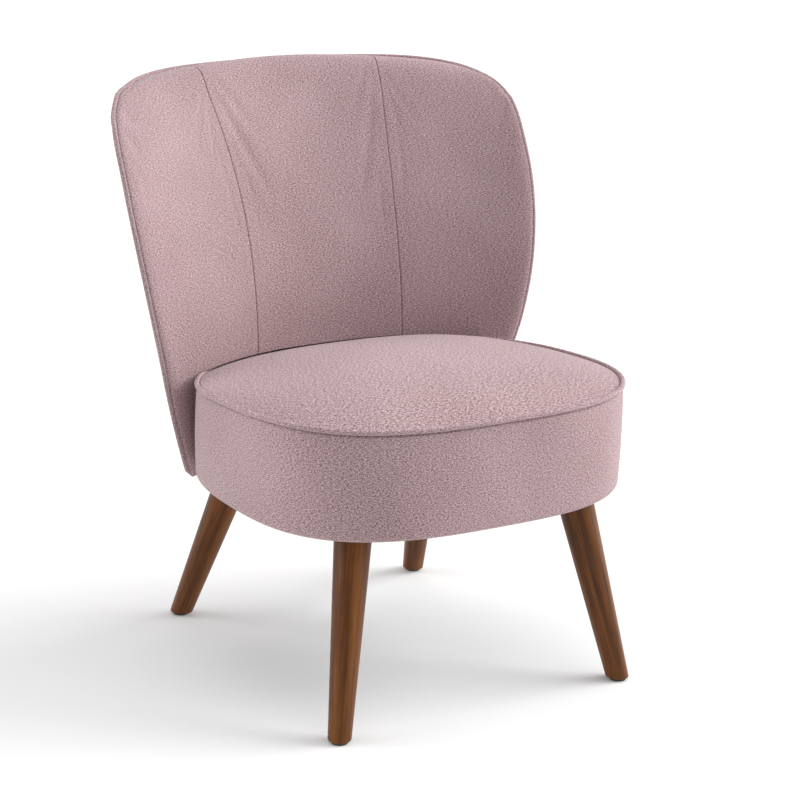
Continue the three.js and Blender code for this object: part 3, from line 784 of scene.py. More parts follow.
def border(columns: list, rows: list, lines: int) -> list[int]:
    """The points of a sheet that lie within a number of grid lines of its border.

    Args:
        columns: the sheet's columns.
        rows: its rows.
        lines: how many lines deep the border is.

    Returns:
        The points' numbers.
    """
    width, height = len(columns), len(rows)
    return [
        row * width + column for row in range(height) for column in range(width)
        if min(column, width - 1 - column, row, height - 1 - row) < lines
    ]


# ---------------------------------------------------------------- the chair's forms
@dataclass(frozen=True)
class SeatForm:
    """The seat: a drum with a rounded-square outline and a crowned top. Its middle is at x = 0."""

    centre_y: float
    half_width: float
    front: float
    rear: float
    edge: float
    crown: float
    underside: float
    piping: float = 0.0035
    front_fullness: float = 2.85
    rear_fullness: float = 2.6
    crown_fullness: float = 2.4
    rear_dip: float = 0.020
    dip_start: float = -0.6

    @classmethod
    def measured(cls) -> "SeatForm":
        """Takes the seat's sizes from its frame.

        Returns:
            The seat's form.
        """
        low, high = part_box("seat_piping")
        block_low, block_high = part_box("rim_block_left")
        centre_y = (block_low.y + block_high.y) / 2
        edge = high.z - cls.piping
        return cls(
            centre_y=centre_y, half_width=high.x, front=centre_y - low.y, rear=high.y - centre_y,
            edge=edge, crown=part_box("seat_top_cover")[1].z - edge,
            underside=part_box("dust_cover")[0].z,
        )

    def outline(self, angle: float, inset: float = 0.0) -> Vector:
        """A point of the outline.

        Args:
            angle: its direction from the middle, from +X.
            inset: how far it has moved in along the outline's normal.

        Returns:
            Its place from the seat's middle.
        """
        cosine, sine = math.cos(angle), math.sin(angle)
        depth, fullness = self.rear, self.rear_fullness
        if sine < 0:
            depth, fullness = self.front, self.front_fullness
        across = abs(cosine) / self.half_width
        along = abs(sine) / depth
        reach = (across ** fullness + along ** fullness) ** (-1 / fullness)
        normal = Vector((
            math.copysign(across ** (fullness - 1) / self.half_width, cosine),
            math.copysign(along ** (fullness - 1) / depth, sine),
        )).normalized()
        return Vector((reach * cosine, reach * sine)) - normal * inset

    def at(self, angle: float, inset: float, height: float, share: float = 1.0) -> Vector:
        """A place on the drum, with the dip of its rear taken in.

        Args:
            angle: direction from the middle.
            inset: distance in from the outline.
            height: height before the dip.
            share: share of the way out from the middle.

        Returns:
            The place.
        """
        flat = self.outline(angle, inset) * share
        dip = self.rear_dip * smooth((flat.y / self.rear - self.dip_start) / (1 - self.dip_start))
        dip *= clamp01((height - self.underside) / (self.edge - self.underside))
        return Vector((flat.x, flat.y + self.centre_y, height - dip))

    def top(self, share: float) -> float:
        """Height of the crowned top at a share of the way out."""
        return self.edge + self.crown * (1 - share ** self.crown_fullness)

    def holds(self, place: Vector, margin: float) -> bool:
        """Whether a place lies in the seat, or within a margin of it, or anywhere below it.

        Args:
            place: the place.
            margin: the margin.

        Returns:
            True if it does.
        """
        angle = math.atan2(place.y - self.centre_y, place.x)
        reach = self.outline(angle, -margin).length
        share = math.hypot(place.x, place.y - self.centre_y) / reach
        if share >= 1:
            return False
        top = max(self.top(share), self.edge + self.piping) + margin
        return place.z < self.at(angle, -margin, top, share).z


@dataclass(frozen=True)
class BackForm:
    """The back: a leaning shell that curls forward, with its top rolled over to the piping.

    A place on it is given by u, from wing to wing (-1 to 1), and v, from the bottom to the rim.
    """

    seat: SeatForm
    bottom: float
    tip_round: float = 0.010
    wing_overhang: float = 0.043
    tip_setback: float = 0.042
    widest: float = 0.645
    edge_top: float = 0.776
    flank_power: float = 1.75
    corner_fullness: float = 5.3
    front_depth: float = 0.221
    lean_slope: float = 0.055
    lean_curve: float = 0.87
    wing_reach: float = 0.0772
    thickness: float = 0.062
    wing_fullness: float = 2.8
    roll_height: float = 0.036
    roll_depth: float = 0.038
    roll_turn: float = 2.18
    roll_fullness: float = 0.56
    roll_wing_depth: float = 0.55
    roll_wing_power: int = 6
    roll_turn_power: int = 3
    roll_levelling: int = 8
    edge_roll: float = 0.010
    edge_roll_share: float = 0.07
    seam_offset: float = 0.118
    seam_flare: float = 0.029
    flare_power: int = 3

    @property
    def half_width(self) -> float:
        """Half the back's width at its widest."""
        return self.seat.half_width + self.wing_overhang

    @property
    def corner_height(self) -> float:
        """Height of the top edge above the widest level."""
        return self.edge_top - self.widest

    @property
    def corner_x(self) -> float:
        """Distance from the middle to the turn of the top corners."""
        return self.half_width * math.sqrt(0.5) ** (2 / self.corner_fullness)

    def rim_height(self, x: float) -> float:
        """Height of the rim above a distance x from the middle."""
        share = max(0.0, 1 - abs(x / self.half_width) ** self.corner_fullness)
        return self.widest + self.corner_height * share ** (1 / self.corner_fullness)

    def rim_half_width(self, z: float) -> float:
        """Half the width between the wings' rims at a height.

        Args:
            z: the height.

        Returns:
            The half width.
        """
        if z < self.widest:
            share = (self.widest - z) / (self.widest - self.bottom)
            drawn_in = self.wing_overhang + self.tip_setback
            tip = turned_edge(z - self.bottom, self.tip_round)
            return self.half_width - drawn_in * share ** self.flank_power - tip
        share = max(0.0, 1 - ((z - self.widest) / self.corner_height) ** self.corner_fullness)
        return self.half_width * share ** (1 / self.corner_fullness)

    def lean(self, z: float) -> tuple[float, float]:
        """The leaning face, before it curls forward.

        Args:
            z: the height.

        Returns:
            Its depth behind the seat's middle there, and its slope.
        """
        rise = max(0.0, z - self.seat.edge)
        depth = self.front_depth + self.lean_slope * rise + self.lean_curve * rise ** 2
        slope = self.lean_slope + 2 * self.lean_curve * rise if rise > 0 else 0.0
        return depth, slope

    def rolled(self, u: float, top: float, depth: float, share: float) -> tuple[float, float]:
        """Depth and height on the roll over the top edge.

        Args:
            u: place from wing to wing.
            top: height of the rim there.
            depth: how far back the rim is from the face.
            share: share of the way from the start of the roll to the rim.

        Returns:
            The depth and height.
        """
        begin = top - self.roll_height
        start_depth, slope = self.lean(begin)
        start = Vector((start_depth, begin))
        rim = Vector((self.lean(top)[0] + depth, top))
        handle = self.roll_fullness * (rim - start).length
        end_angle = mix(math.pi / 2, self.roll_turn, (1 - u ** 2) ** self.roll_turn_power)
        leave = start + Vector((slope, 1.0)).normalized() * handle
        arrive = rim - Vector((math.sin(end_angle), math.cos(end_angle))) * handle
        rest = 1 - share
        point = (start * rest ** 3 + leave * (3 * rest ** 2 * share)
                 + arrive * (3 * rest * share ** 2) + rim * share ** 3)
        return point.x, point.y

    def faces(self, u: float, v: float) -> tuple[Vector, Vector]:
        """The places on the front and rear surfaces.

        Args:
            u: place from wing to wing.
            v: place from the bottom to the rim.

        Returns:
            The place on the front and the one on the rear.
        """
        u = max(-1.0, min(1.0, u))
        x = u * self.rim_half_width(mix(self.bottom, self.rim_height(self.corner_x), v))
        top = self.rim_height(u * self.corner_x)
        level = mix(self.bottom, top, v)
        share = clamp01(1 - (top - level) / self.roll_height)
        roll_depth = self.roll_depth * mix(1, self.roll_wing_depth, u ** self.roll_wing_power)
        depth, height = self.lean(level)[0], level
        if share > 0:
            depth, rolled_height = self.rolled(u, top, roll_depth, share)
            height = mix(rolled_height, level, u ** self.roll_levelling)
        wrap = self.wing_reach / self.half_width ** 2
        edge_share = clamp01((abs(u) - 1 + self.edge_roll_share) / self.edge_roll_share)
        edge = self.edge_roll * (1 - math.sqrt(1 - edge_share ** 2))
        forward = (wrap + self.edge_roll / self.half_width ** 2) * x ** 2
        thick = self.thickness * math.sqrt(max(0.0, 1 - abs(u) ** self.wing_fullness))
        if share > 0:
            thick = roll_depth + (thick - roll_depth) * math.sqrt(1 - share ** 2)
        y = self.seat.centre_y
        front = Vector((x, y + depth - forward + edge, height))
        rear = Vector((x, y + self.lean(level)[0] - wrap * x ** 2 + thick, level))
        return front, rear

    def front(self, u: float, v: float) -> Vector:
        """The place on the front surface."""
        return self.faces(u, v)[0]

    def rear(self, u: float, v: float) -> Vector:
        """The place on the rear surface."""
        return self.faces(u, v)[1]

    def outward(self, surface: Callable, u: float, v: float, step: float = 0.002) -> Vector:
        """The direction straight out of a surface of the back, towards the front.

        Args:
            surface: gives the surface's place at u and v, as front and rear do.
            u: place from wing to wing.
            v: place from the bottom to the rim.
            step: how far to each side the slope is measured.

        Returns:
            The direction.
        """
        left, right = max(-1.0, u - step), min(1.0, u + step)
        low, high = max(0.0, v - step), min(1.0, v + step)
        across = surface(right, v) - surface(left, v)
        along = surface(u, high) - surface(u, low)
        return across.cross(along).normalized()

    def seam_share(self, v: float) -> float:
        """The u of the seams: straight at first, then flaring out to the top corners.

        Args:
            v: place from the bottom to the rim.

        Returns:
            The u of the right seam.
        """
        z = mix(self.bottom, self.edge_top, v)
        rise = clamp01((z - self.seat.edge) / (self.edge_top - self.seat.edge))
        reach = self.rim_half_width(mix(self.bottom, self.rim_height(self.corner_x), v))
        return (self.seam_offset + self.seam_flare * rise ** self.flare_power) / reach

    def cloth_place(self, place: Vector) -> tuple[float, float, float]:
        """Where a place lies on the cloth of the back.

        Args:
            place: the place.

        Returns:
            Its way across and along the cloth in metres, and 0.
        """
        wrap = self.wing_reach / self.half_width ** 2
        bend = 2 * wrap * place.x  # slope of the curl, from which the arc's length is worked out
        across = place.x * (1 + bend * bend / 6)
        fall = place.y - self.seat.centre_y + wrap * place.x ** 2 - self.front_depth
        return across, place.z + fall / 2, 0.0


# ---------------------------------------------------------------- sub-assemblies
@dataclass
class Assembly:
    """A part of the chair that is built piece by piece."""

    wardrobe: Wardrobe

    def place(self, piece: bpy.types.Object, finish: Finish, slot: str, *nodes: str) -> None:
        """Dresses a finished piece and puts it on the chair.

        Args:
            piece: the piece.
            finish: its finish.
            slot: not used.
            *nodes: the CAD nodes that it stands for.
        """
        self.wardrobe.dress(piece, finish)
        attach(piece, BODY)
        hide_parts(*nodes)
        log.info("%s: %d faces, for %s", piece.name, len(piece.data.polygons), ", ".join(nodes))


@dataclass
class SeatUpholstery(Assembly):
    """The seat's cushion, band, piping and lining."""

    form: SeatForm
    around: int = 240
    band_inset: float = 0.003
    band_bulge: float = 0.0016
    bulge_power: float = 0.8
    band_tuck: float = 0.0046
    tuck_steps: int = 8
    band_steps: int = 24
    band_round: float = 0.010
    round_steps: int = 10
    hem: float = 0.018
    cover: float = 0.0025
    cushion_inset: float = 0.0066
    cushion_edge: float = 0.0022
    cushion_grid: int = 96
    cushion_swell: float = 0.005
    sewn_lines: int = 7
    skirt_steps: int = 2
    loose: float = 0.7
    lining_inset: float = 0.018
    lining_thickness: float = 0.0012
    piping_sides: int = 16

    def angles(self) -> list[float]:
        """Directions round the seat, from the rear and back to it."""
        return [math.pi / 2 + 2 * math.pi * i / self.around for i in range(self.around + 1)]

    def cloth_place(self, place: Vector) -> tuple[float, float, float]:
        """Where a place on the side lies on its cloth: round the drum, and up."""
        angle = math.atan2(place.x, self.form.centre_y - place.y)
        return angle * (self.form.half_width + self.form.front) / 2, place.z, 0.0

    def cushion_place(self, across: float, along: float) -> Vector:
        """A place on the cushion's top from a place on a square.

        Args:
            across: place across the square, from -1 to 1.
            along: place along it, from -1 to 1.

        Returns:
            The place on the cushion.
        """
        share = max(abs(across), abs(along), TINY)
        if abs(across) >= abs(along):
            angle = math.pi / 4 * along / share * math.copysign(1, across)
            angle += 0.0 if across > 0 else math.pi
        else:
            angle = math.pi / 2 - math.pi / 4 * across / share * math.copysign(1, along)
            angle += 0.0 if along > 0 else math.pi
        reach = self.form.outline(angle, self.cushion_inset).length
        fall = turned_edge((1 - share) * reach, self.cushion_edge)
        return self.form.at(angle, self.cushion_inset, self.form.top(share) - fall, share)

    def build_cushion(self) -> bpy.types.Object:
        """Models the crowned cushion, swollen inside its border.

        Returns:
            The cushion, closed underneath.
        """
        lines = [2 * share - 1 for share in eased(self.cushion_grid)]
        cushion = Bench.sheet("seat_cushion", lines, lines, self.cushion_place)
        Stuffing(limit=self.cushion_swell).fill(cushion, border(lines, lines, self.sewn_lines))
        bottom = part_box("seat_foam")[0].z
        skirt = (0, 0, -(self.form.edge - self.cushion_edge - bottom) / self.skirt_steps)
        Bench.edit(cushion, "EDGE")
        bpy.ops.mesh.select_all(action="DESELECT")
        bpy.ops.mesh.select_non_manifold()
        for _ in range(self.skirt_steps):
            bpy.ops.mesh.extrude_region_move(TRANSFORM_OT_translate={"value": skirt})
        bpy.ops.mesh.edge_face_add()
        Bench.weld(cushion)
        self.level_bottom(cushion, bottom)
        Bench.soften(cushion, COVER_CREASE)
        Bench.map(cushion, CLOTH_MAP, lambda p: (p.x * self.loose, p.y * self.loose, 0.0))
        return cushion

    @staticmethod
    def level_bottom(piece: bpy.types.Object, level: float) -> None:
        """Levels the points of a piece's bottom, which is its one face with many corners.

        Args:
            piece: the piece.
            level: height of its bottom.
        """
        underneath = max(piece.data.polygons, key=lambda face: len(face.vertices))
        for index in underneath.vertices:
            piece.data.vertices[index].co.z = level

    def band_section(self) -> list[tuple[float, float]]:
        """Works out the band's section, from its top edge down, under and back up.

        Returns:
            The (inset, height) pairs, the last one the same as the first.
        """
        top = self.form.edge - self.form.piping
        bottom = self.form.underside + self.lining_thickness
        upper, lower = top - self.band_tuck, bottom + self.band_round
        section = [(self.band_inset + self.band_tuck * (1 - math.sin(turn)),
                    top - self.band_tuck * (1 - math.cos(turn)))
                   for turn in quarter(self.tuck_steps)]
        for i in range(1, self.band_steps):
            share = i / self.band_steps
            bulge = self.band_bulge * math.sin(math.pi * share) ** self.bulge_power
            section.append((self.band_inset - bulge, mix(upper, lower, share)))
        section += [(self.band_inset + self.band_round * (1 - math.cos(turn)),
                     bottom + self.band_round * (1 - math.sin(turn)))
                    for turn in quarter(self.round_steps)]
        inner = self.band_inset + self.cover
        section += [(self.band_inset + self.hem, bottom),
                    (self.band_inset + self.hem, bottom + self.cover),
                    (inner + self.band_round, bottom + self.cover),
                    (inner + self.cover, bottom + self.band_round), (inner, lower),
                    (inner, upper), (inner + self.band_tuck / 2, top - self.band_tuck / 2)]
        return section + section[:1]

    def build_band(self) -> bpy.types.Object:
        """Models the band as one closed ring with a soft lower edge.

        Returns:
            The band.
        """
        band = Bench.sheet("seat_band", self.angles(), self.band_section(),
                           lambda angle, spot: self.form.at(angle, spot[0], spot[1]))
        Bench.weld(band)
        Bench.soften(band, COVER_CREASE)
        Bench.map(band, CLOTH_MAP, self.cloth_place)
        return band

    def build_piping(self) -> bpy.types.Object:
        """Models the welt cord round the seat.

        Returns:
            The cord.
        """
        radius = self.form.piping
        piping = Bench.sheet(
            "seat_welt", self.angles(), full_turn(self.piping_sides),
            lambda angle, turn: self.form.at(angle, radius - radius * math.cos(turn),
                                             self.form.edge + radius * math.sin(turn)),
        )
        Bench.weld(piping)
        Bench.soften(piping, CORD_CREASE)
        Bench.map(piping, CLOTH_MAP, self.cloth_place)
        return piping

    def build_lining(self) -> bpy.types.Object:
        """Models the lining under the seat.

        Returns:
            The lining.
        """
        level = self.form.underside
        section = [(0.0, level), (1.0, level), (1.0, level + self.lining_thickness),
                   (0.0, level + self.lining_thickness)]
        lining = Bench.sheet(
            "seat_lining", self.angles(), section,
            lambda angle, spot: self.form.at(angle, self.lining_inset, spot[1], spot[0]),
        )
        Bench.weld(lining)
        Bench.soften(lining, LINING_CREASE)
        return lining

    def build(self) -> None:
        """Builds the seat's pieces."""
        cushion = self.build_cushion()
        self.place(cushion, Finish.CLOTH, "upholstery", "seat_top_cover", "seat_foam")
        self.place(self.build_band(), Finish.CLOTH, "upholstery", "seat_band_cover")
        self.place(self.build_piping(), Finish.CORD, "piping", "seat_piping")
        self.place(self.build_lining(), Finish.LINING, "lining", "dust_cover")


@dataclass
class Cord:
    """A round cord along a line of points, with rounded ends."""

    line: list[Vector]
    radius: float
    sides: int
    end_rings: int = 5
    travelled: list[float] = field(init=False)

    def __post_init__(self) -> None:
        """Crowds points together at both ends, and measures the way along to each point."""
        ends = [1 - math.cos(turn) for turn in quarter(self.end_rings)]
        start = self.rounded_end(self.line[0], self.line[1], ends)
        finish = self.rounded_end(self.line[-1], self.line[-2], ends)
        self.line = start + self.line[2:-2] + finish[::-1]
        self.travelled = [0.0]
        for before, after in zip(self.line, self.line[1:]):
            self.travelled.append(self.travelled[-1] + (after - before).length)

    def rounded_end(self, tip: Vector, inner: Vector, ends: list[float]) -> list[Vector]:
        """Points from the cord's tip inwards, at some shares of its radius."""
        return [tip.lerp(inner, end * self.radius / (inner - tip).length) for end in ends]

    def spot(self, step: int, turn: float) -> Vector:
        """A place on the cord's surface.

        Args:
            step: number of the point on its line.
            turn: angle round the cord.

        Returns:
            The place.
        """
        before, after = self.line[max(0, step - 1)], self.line[min(len(self.line) - 1, step + 1)]
        tangent = (after - before).normalized()
        side = tangent.cross(Vector((0, 1, 0))).normalized()
        depth = side.cross(tangent)
        from_end = min(self.travelled[step], self.travelled[-1] - self.travelled[step])
        short = clamp01(1 - from_end / self.radius)
        radius = self.radius * math.sqrt(max(0.0, 1 - short * short))
        return self.line[step] + (side * math.cos(turn) + depth * math.sin(turn)) * radius

    def build(self, name: str) -> bpy.types.Object:
        """Models the cord, with its weave map along and round it.

        Args:
            name: its name.

        Returns:
            The cord.
        """
        steps, turns = list(range(len(self.line))), full_turn(self.sides)
        cord = Bench.sheet(name, steps, turns, self.spot)
        layer = cord.data.attributes.new(CLOTH_MAP, "FLOAT_VECTOR", "POINT")
        for index, value in enumerate(layer.data):
            ring, step = divmod(index, len(steps))
            value.vector = (self.travelled[step], turns[ring] * self.radius, 0.0)
        Bench.weld(cord)
        Bench.soften(cord, CORD_CREASE)
        return cord


@dataclass
class BackUpholstery(Assembly):
    """The back's three front panels, outer cover and piping."""

    form: BackForm
    cover: float = 0.0024
    seam_station: float = 0.4
    seam_limit: float = 0.5
    seam_gap: float = 0.00005
    seam_turn: float = 0.003
    seam_depth: float = 0.5
    allowance_height: float = 0.0005
    allowance_width: float = 0.007
    side_margin: float = 0.0016
    top_margin: float = 0.0012
    columns: int = 60
    rows: int = 96
    underside_rows: int = 14
    sewn_lines: int = 9
    panel_pressure: float = 2.5
    panel_swell: float = 0.0016
    bottom_round: float = 0.012
    piping: float = 0.0035
    piping_steps: int = 260
    wing_share: float = 0.36
    piping_sides: int = 16
    clearance: float = 0.0006
    probes: int = 80
    halvings: int = 12

    @property
    def reach(self) -> float:
        """The u of the covers' side edges."""
        return 1 - self.side_margin / self.form.half_width

    @property
    def top(self) -> float:
        """The v of the covers' top edges."""
        return 1 - self.top_margin / (self.form.edge_top - self.form.bottom)

    def share_at(self, station: float, v: float) -> float:
        """The u of a station.

        Args:
            station: 0 in the middle, seam_station at a seam and 1 at the rim.
            v: place from the bottom to the rim.

        Returns:
            The u.
        """
        seam = self.form.seam_share(v)
        out = abs(station)
        if out < self.seam_station:
            share = out / self.seam_station * seam
        else:
            share = mix(seam, 1, (out - self.seam_station) / (1 - self.seam_station))
        return math.copysign(share, station)

    def first_free(self, place_at: Callable[[float], Vector], last: float) -> float:
        """Where a line on the back comes out of the seat.

        Args:
            place_at: gives the place on the line for a value from 0 to last.
            last: the value at its free end.

        Returns:
            The lowest value above which the line is clear of the seat.
        """
        inside, step = last, last / self.probes
        while inside > 0 and not self.form.seat.holds(place_at(inside), self.clearance):
            inside -= step
        if inside <= 0:
            return 0.0
        free = inside + step
        for _ in range(self.halvings):
            middle = (inside + free) / 2
            if self.form.seat.holds(place_at(middle), self.clearance):
                inside = middle
            else:
                free = middle
        return free

    def panel_place(self, left: float, right: float, station: float, v: float) -> Vector:
        """A place on a front panel, with its edges turned in and its seam allowances raised.

        Args:
            left: station of its left edge.
            right: station of its right edge.
            station: station of the place.
            v: v of the place.

        Returns:
            The place.
        """
        u = self.share_at(station, v)
        spot = self.form.front(u, v)
        outward = self.form.outward(self.form.front, u, v)
        drop = 0.0
        for edge, edge_v in ((left, v), (right, v), (station, self.top)):
            reach = (self.form.front(self.share_at(edge, edge_v), edge_v) - spot).length
            at_seam = abs(edge) < self.seam_limit and edge_v == v
            depth = self.seam_depth if at_seam else 1.0
            drop = max(drop, depth * turned_edge(reach, self.seam_turn))
            if at_seam:
                raised = smooth(reach / self.seam_turn)
                raised -= smooth((reach - self.allowance_width) / self.seam_turn)
                drop -= self.allowance_height * raised
        return spot - outward * drop

    def build_panel(self, name: str, left: float, right: float) -> bpy.types.Object:
        """Models one panel of the front cover.

        Args:
            name: its name.
            left: station of its left edge.
            right: station of its right edge.

        Returns:
            The panel, closed behind.
        """
        top = self.top
        across = [mix(left, right, share) for share in eased(self.columns)]
        starts = {
            station: self.first_free(
                lambda v, a=station: self.form.front(self.share_at(a, v), v), top)
            for station in across
        }
        up = eased(self.rows)
        panel = Bench.sheet(
            name, across, up,
            lambda station, share: self.panel_place(left, right, station,
                                                    mix(starts[station], top, share)),
        )
        stuffing = Stuffing(pressure=self.panel_pressure, limit=self.panel_swell)
        stuffing.fill(panel, border(across, up, self.sewn_lines))
        Bench.thicken(panel, self.cover)
        Bench.soften(panel, COVER_CREASE)
        Bench.map(panel, CLOTH_MAP, self.form.cloth_place)
        return panel

    def under_place(self, u: float, share: float) -> Vector:
        """A place on the part of the outer cover that is drawn under the back.

        Args:
            u: place from wing to wing.
            share: share of the way from the front to the rear.

        Returns:
            The place.
        """
        front, rear = self.form.faces(u, 0.0)
        inner = front + Vector((0, self.seam_turn, 0))
        free = self.first_free(lambda t: inner.lerp(rear, t), 1.0)
        spot = inner.lerp(rear, mix(free, 1.0, share))
        spot.z += turned_edge((rear - spot).length, min(self.bottom_round, (rear - inner).length))
        return spot

    def rear_place(self, u: float, v: float) -> Vector:
        """A place on the part of the outer cover that stands upright.

        Args:
            u: place from wing to wing.
            v: place from the bottom to the rim.

        Returns:
            The place.
        """
        spot = self.form.rear(u, v)
        inward = self.form.outward(self.form.rear, u, v)
        rim_side = self.form.rear(math.copysign(self.reach, u), v)
        rim_top = self.form.rear(u, self.top)
        drop = max(turned_edge((rim_side - spot).length, self.seam_turn),
                   turned_edge((rim_top - spot).length, self.seam_turn))
        lift = turned_edge((self.form.rear(u, 0.0) - spot).length, self.bottom_round)
        return spot + inward * drop + Vector((0, -lift, 0))

    def build_outer(self) -> bpy.types.Object:
        """Models the cover of the outside, drawn under the back's bottom edge.

        Returns:
            The cover, closed inside.
        """
        across = [self.reach * (2 * share - 1) for share in eased(2 * self.columns)]
        up = [(self.under_place, i / self.underside_rows) for i in range(self.underside_rows)]
        up += [(self.rear_place, share * self.top) for share in eased(self.rows)]
        outer = Bench.sheet("back_outside", across, up, lambda u, row: row[0](u, row[1]))
        Bench.flip(outer)
        Bench.thicken(outer, self.cover)
        Bench.soften(outer, COVER_CREASE)
        Bench.map(outer, CLOTH_MAP, self.form.cloth_place)
        return outer

    def rim(self, share: float) -> Vector:
        """A place on the line of the piping.

        Args:
            share: share of the way from the left wing's tip round to the right one's.

        Returns:
            The place.
        """
        side = self.wing_share
        if share < side:
            return self.form.front(-1, share / side)
        if share > 1 - side:
            return self.form.front(1, (1 - share) / side)
        return self.form.front(mix(-1, 1, (share - side) / (1 - 2 * side)), 1)

    def build_piping(self) -> bpy.types.Object:
        """Models the welt cord round the back."""
        line = [self.rim(i / self.piping_steps) for i in range(self.piping_steps + 1)]
        return Cord(line, self.piping, self.piping_sides).build("back_welt")

    def build(self) -> None:
        """Builds the back's pieces."""
        gap = self.seam_gap / self.form.seam_offset * self.seam_station
        seam = self.seam_station
        stations = {"left": (-self.reach, -seam - gap), "centre": (gap - seam, seam - gap),
                    "right": (seam + gap, self.reach)}
        for name, (left, right) in stations.items():
            panel = self.build_panel(f"back_{name}_pad", left, right)
            self.place(panel, Finish.CLOTH, "upholstery", f"back_{name}_panel")
        self.place(self.build_outer(), Finish.CLOTH, "upholstery", "back_outer_cover")
        self.place(self.build_piping(), Finish.CORD, "piping", "back_piping")


@dataclass
class Legs(Assembly):
    """The four turned legs, each leaning out from the seat."""

    foot_radius: float = 0.0152
    top_radius: float = 0.025
    facets: int = 72
    spare: float = 0.15
    foot_round: float = 0.0022
    round_segments: int = 5
    bolt_clearance: float = 0.0004
    bore_facets: int = 24
    grain_shift: tuple = (3.1, 1.7)

    def build_leg(self, corner: str) -> bpy.types.Object:
        """Models one leg.

        Args:
            corner: which leg, such as front_left.

        Returns:
            The leg.
        """
        low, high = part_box(f"leg_{corner}")
        bolt_low, bolt_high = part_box(f"leg_bolt_{corner}")
        glide_low, glide_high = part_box(f"glide_{corner}")
        head = Vector(((bolt_low.x + bolt_high.x) / 2, (bolt_low.y + bolt_high.y) / 2, high.z))
        middle = (glide_low + glide_high) / 2
        foot = head + (middle - head) * (head.z / (head.z - middle.z))
        axis = (head - foot).normalized()
        length = (head - foot).length
        taper = self.top_radius - self.foot_radius
        Bench.clear()
        bpy.ops.mesh.primitive_cone_add(
            vertices=self.facets, radius1=self.foot_radius - self.spare * taper,
            radius2=self.top_radius + self.spare * taper, depth=length * (1 + 2 * self.spare),
            location=(foot + head) / 2, rotation=axis.to_track_quat("Z", "Y").to_euler(),
        )
        leg = Bench.named(f"turned_leg_{corner}")
        bpy.ops.object.transform_apply(location=True, rotation=True, scale=True)
        for level, up in ((low.z, -1), (high.z, 1)):
            Bench.edit(leg)
            bpy.ops.mesh.bisect(plane_co=(0, 0, level), plane_no=(0, 0, up), use_fill=True,
                                clear_outer=True)
        bpy.ops.mesh.select_all(action="DESELECT")
        bpy.ops.object.mode_set(mode="OBJECT")
        for edge in leg.data.edges:
            edge.select = all(leg.data.vertices[i].co.z < low.z + WELD for i in edge.vertices)
        bpy.ops.object.mode_set(mode="EDIT")
        bpy.ops.mesh.select_mode(type="EDGE")
        bpy.ops.mesh.bevel(offset=self.foot_round, segments=self.round_segments, affect="EDGES")
        Bench.weld(leg)
        self.drill(leg, bolt_low, bolt_high)
        Bench.soften(leg, LEG_CREASE)
        turn = axis.to_track_quat("Z", "Y").inverted()
        shift = Vector((foot.x * self.grain_shift[0], foot.y * self.grain_shift[1],
                        foot.x + foot.y))
        Bench.map(leg, GRAIN_MAP, lambda p: turn @ (p - foot) + shift)
        return leg

    def drill(self, leg: bpy.types.Object, low: Vector, high: Vector) -> None:
        """Drills a leg for its bolt.

        Args:
            leg: the leg.
            low: low corner of the bolt's box.
            high: high corner of it.
        """
        Bench.clear()
        bpy.ops.mesh.primitive_cylinder_add(
            vertices=self.bore_facets, radius=(high.x - low.x) / 2 + self.bolt_clearance,
            depth=high.z - low.z,
            location=((low.x + high.x) / 2, (low.y + high.y) / 2, (low.z + high.z) / 2),
        )
        drill = Bench.named("drill")
        Bench.carve(leg, drill)
        Bench.discard(drill)

    def build(self) -> None:
        """Builds all four legs."""
        for corner in ("front_left", "front_right", "rear_left", "rear_right"):
            self.place(self.build_leg(corner), Finish.WALNUT, "walnut", f"leg_{corner}")


@dataclass
class HiddenFrame(Assembly):
    """The pieces inside the chair, which keep their CAD meshes."""

    finishes: dict = field(default_factory=lambda: {
        "seat_board": Finish.PLYWOOD, "seat_rim": Finish.PLYWOOD, "back_shell": Finish.PLYWOOD,
        "rim_block": Finish.PINE, "long_strap": Finish.WEBBING, "cross_strap": Finish.WEBBING,
        "seat_side_foam": Finish.FOAM, "back_foam": Finish.FOAM,
        "back_rear_wadding": Finish.WADDING, "leg_bolt": Finish.ZINC, "leg_nut": Finish.ZINC,
        "back_bolt": Finish.ZINC, "glide": Finish.NYLON,
    })

    def build(self) -> None:
        """Gives each inner CAD node its finish."""
        for name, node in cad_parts.items():
            for start, finish in self.finishes.items():
                if name.startswith(start):
                    self.wardrobe.dress(node, finish)
                    log.info("%s keeps its mesh, in %s", name, finish.value.name)
                    break


# ---------------------------------------------------------------- studio
@dataclass(frozen=True)
class Lamp:
    """A large, distant soft light: the way to it from the chair, and its spread in degrees."""

    name: str
    towards_lamp: tuple
    angle: float
    power: float


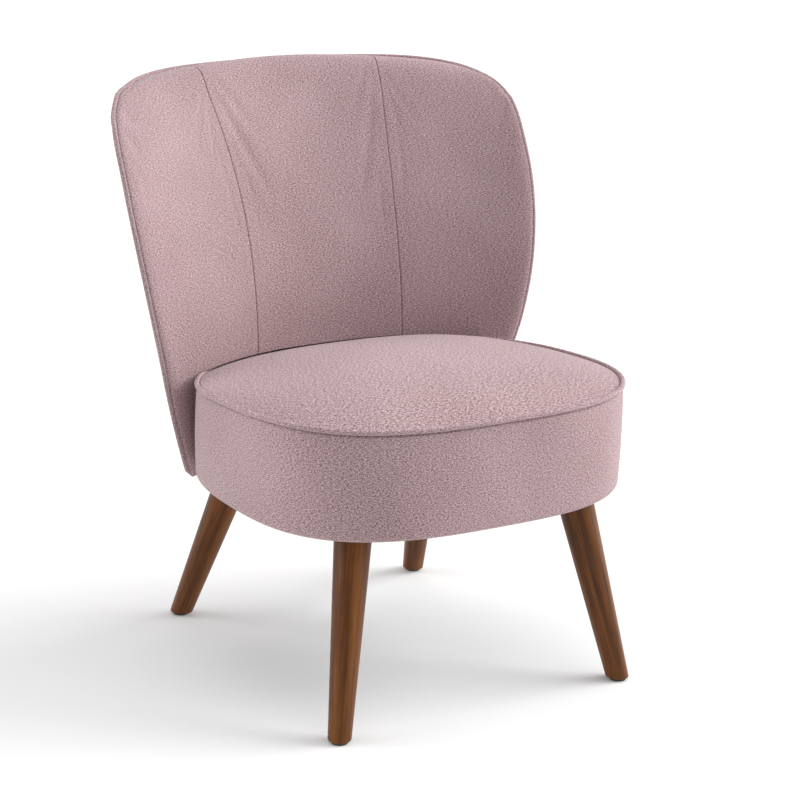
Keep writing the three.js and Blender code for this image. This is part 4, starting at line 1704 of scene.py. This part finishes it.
@dataclass
class Studio:
    """The camera, the lights and the pale floor."""

    wardrobe: Wardrobe
    azimuth: float = -32.11
    elevation: float = 16.09
    roll: float = 1.777
    distance: float = 3.300
    lens: float = 108.3
    sensor: float = 36.0
    shift: tuple = (0.0189, -0.0239)
    aim_height: float = 0.3818
    aim_behind_seat: float = 0.0632
    ambient: float = 0.31
    floor_size: float = 40.0
    far_limit: float = 100.0
    lamps: tuple = (
        Lamp("right_softbox", (0.87, -0.27, 0.41), 46.0, 3.5),
        Lamp("left_softbox", (-0.84, 0.50, 0.30), 46.0, 1.8),
        Lamp("top_softbox", (0.22, -0.05, 0.97), 70.0, 1.45),
    )

    def set_camera(self, seat_centre_y: float) -> None:
        """Puts up the camera, aimed at the chair's middle.

        Args:
            seat_centre_y: depth of the seat's middle.
        """
        azimuth, elevation = math.radians(self.azimuth), math.radians(self.elevation)
        back = Vector((math.sin(azimuth) * math.cos(elevation),
                       -math.cos(azimuth) * math.cos(elevation), math.sin(elevation)))
        aim = Vector((0.0, seat_centre_y + self.aim_behind_seat, self.aim_height))
        camera = bpy.data.objects.new("camera", bpy.data.cameras.new("camera"))
        bpy.context.scene.collection.objects.link(camera)
        camera.data.lens = self.lens
        camera.data.sensor_width = self.sensor
        camera.data.shift_x, camera.data.shift_y = self.shift
        camera.data.clip_end = self.far_limit
        camera.location = aim + back * self.distance
        camera.rotation_mode = "QUATERNION"
        level = (-back).to_track_quat("-Z", "Y")
        camera.rotation_quaternion = level @ Quaternion((0, 0, 1), math.radians(self.roll))
        bpy.context.scene.camera = camera

    def light(self) -> None:
        """Puts up the lamps and the pale surroundings."""
        for lamp in self.lamps:
            data = bpy.data.lights.new(lamp.name, "SUN")
            data.angle = math.radians(lamp.angle)
            data.energy = lamp.power
            light = bpy.data.objects.new(lamp.name, data)
            bpy.context.scene.collection.objects.link(light)
            light.rotation_mode = "QUATERNION"
            light.rotation_quaternion = Vector(lamp.towards_lamp).to_track_quat("Z", "Y")
        world = bpy.data.worlds.new("studio")
        world.use_nodes = True
        background = world.node_tree.nodes["Background"]
        background.inputs["Color"].default_value = (1.0, 1.0, 1.0, 1.0)
        background.inputs["Strength"].default_value = self.ambient
        bpy.context.scene.world = world
        bpy.context.scene.view_settings.view_transform = "Standard"

    def lay_floor(self) -> None:
        """Lays the floor."""
        Bench.clear()
        bpy.ops.mesh.primitive_plane_add(size=self.floor_size)
        floor = Bench.named("studio_floor")
        self.wardrobe.dress(floor, Finish.FLOOR)


def main() -> None:
    """Builds the chair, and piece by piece."""
    logging.basicConfig(level=logging.INFO, format="%(name)s: %(message)s")
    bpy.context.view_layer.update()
    wardrobe = Wardrobe()
    seat = SeatForm.measured()
    studio = Studio(wardrobe)
    studio.set_camera(seat.centre_y)
    back = BackForm(seat, bottom=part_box("back_outer_cover")[0].z - UNDERSIDE_FOLD)
    for assembly in (HiddenFrame(wardrobe), SeatUpholstery(wardrobe, form=seat),
                     BackUpholstery(wardrobe, form=back), Legs(wardrobe)):
        assembly.build()
    studio.light()
    studio.lay_floor()


if __name__ == "__main__":
    main()
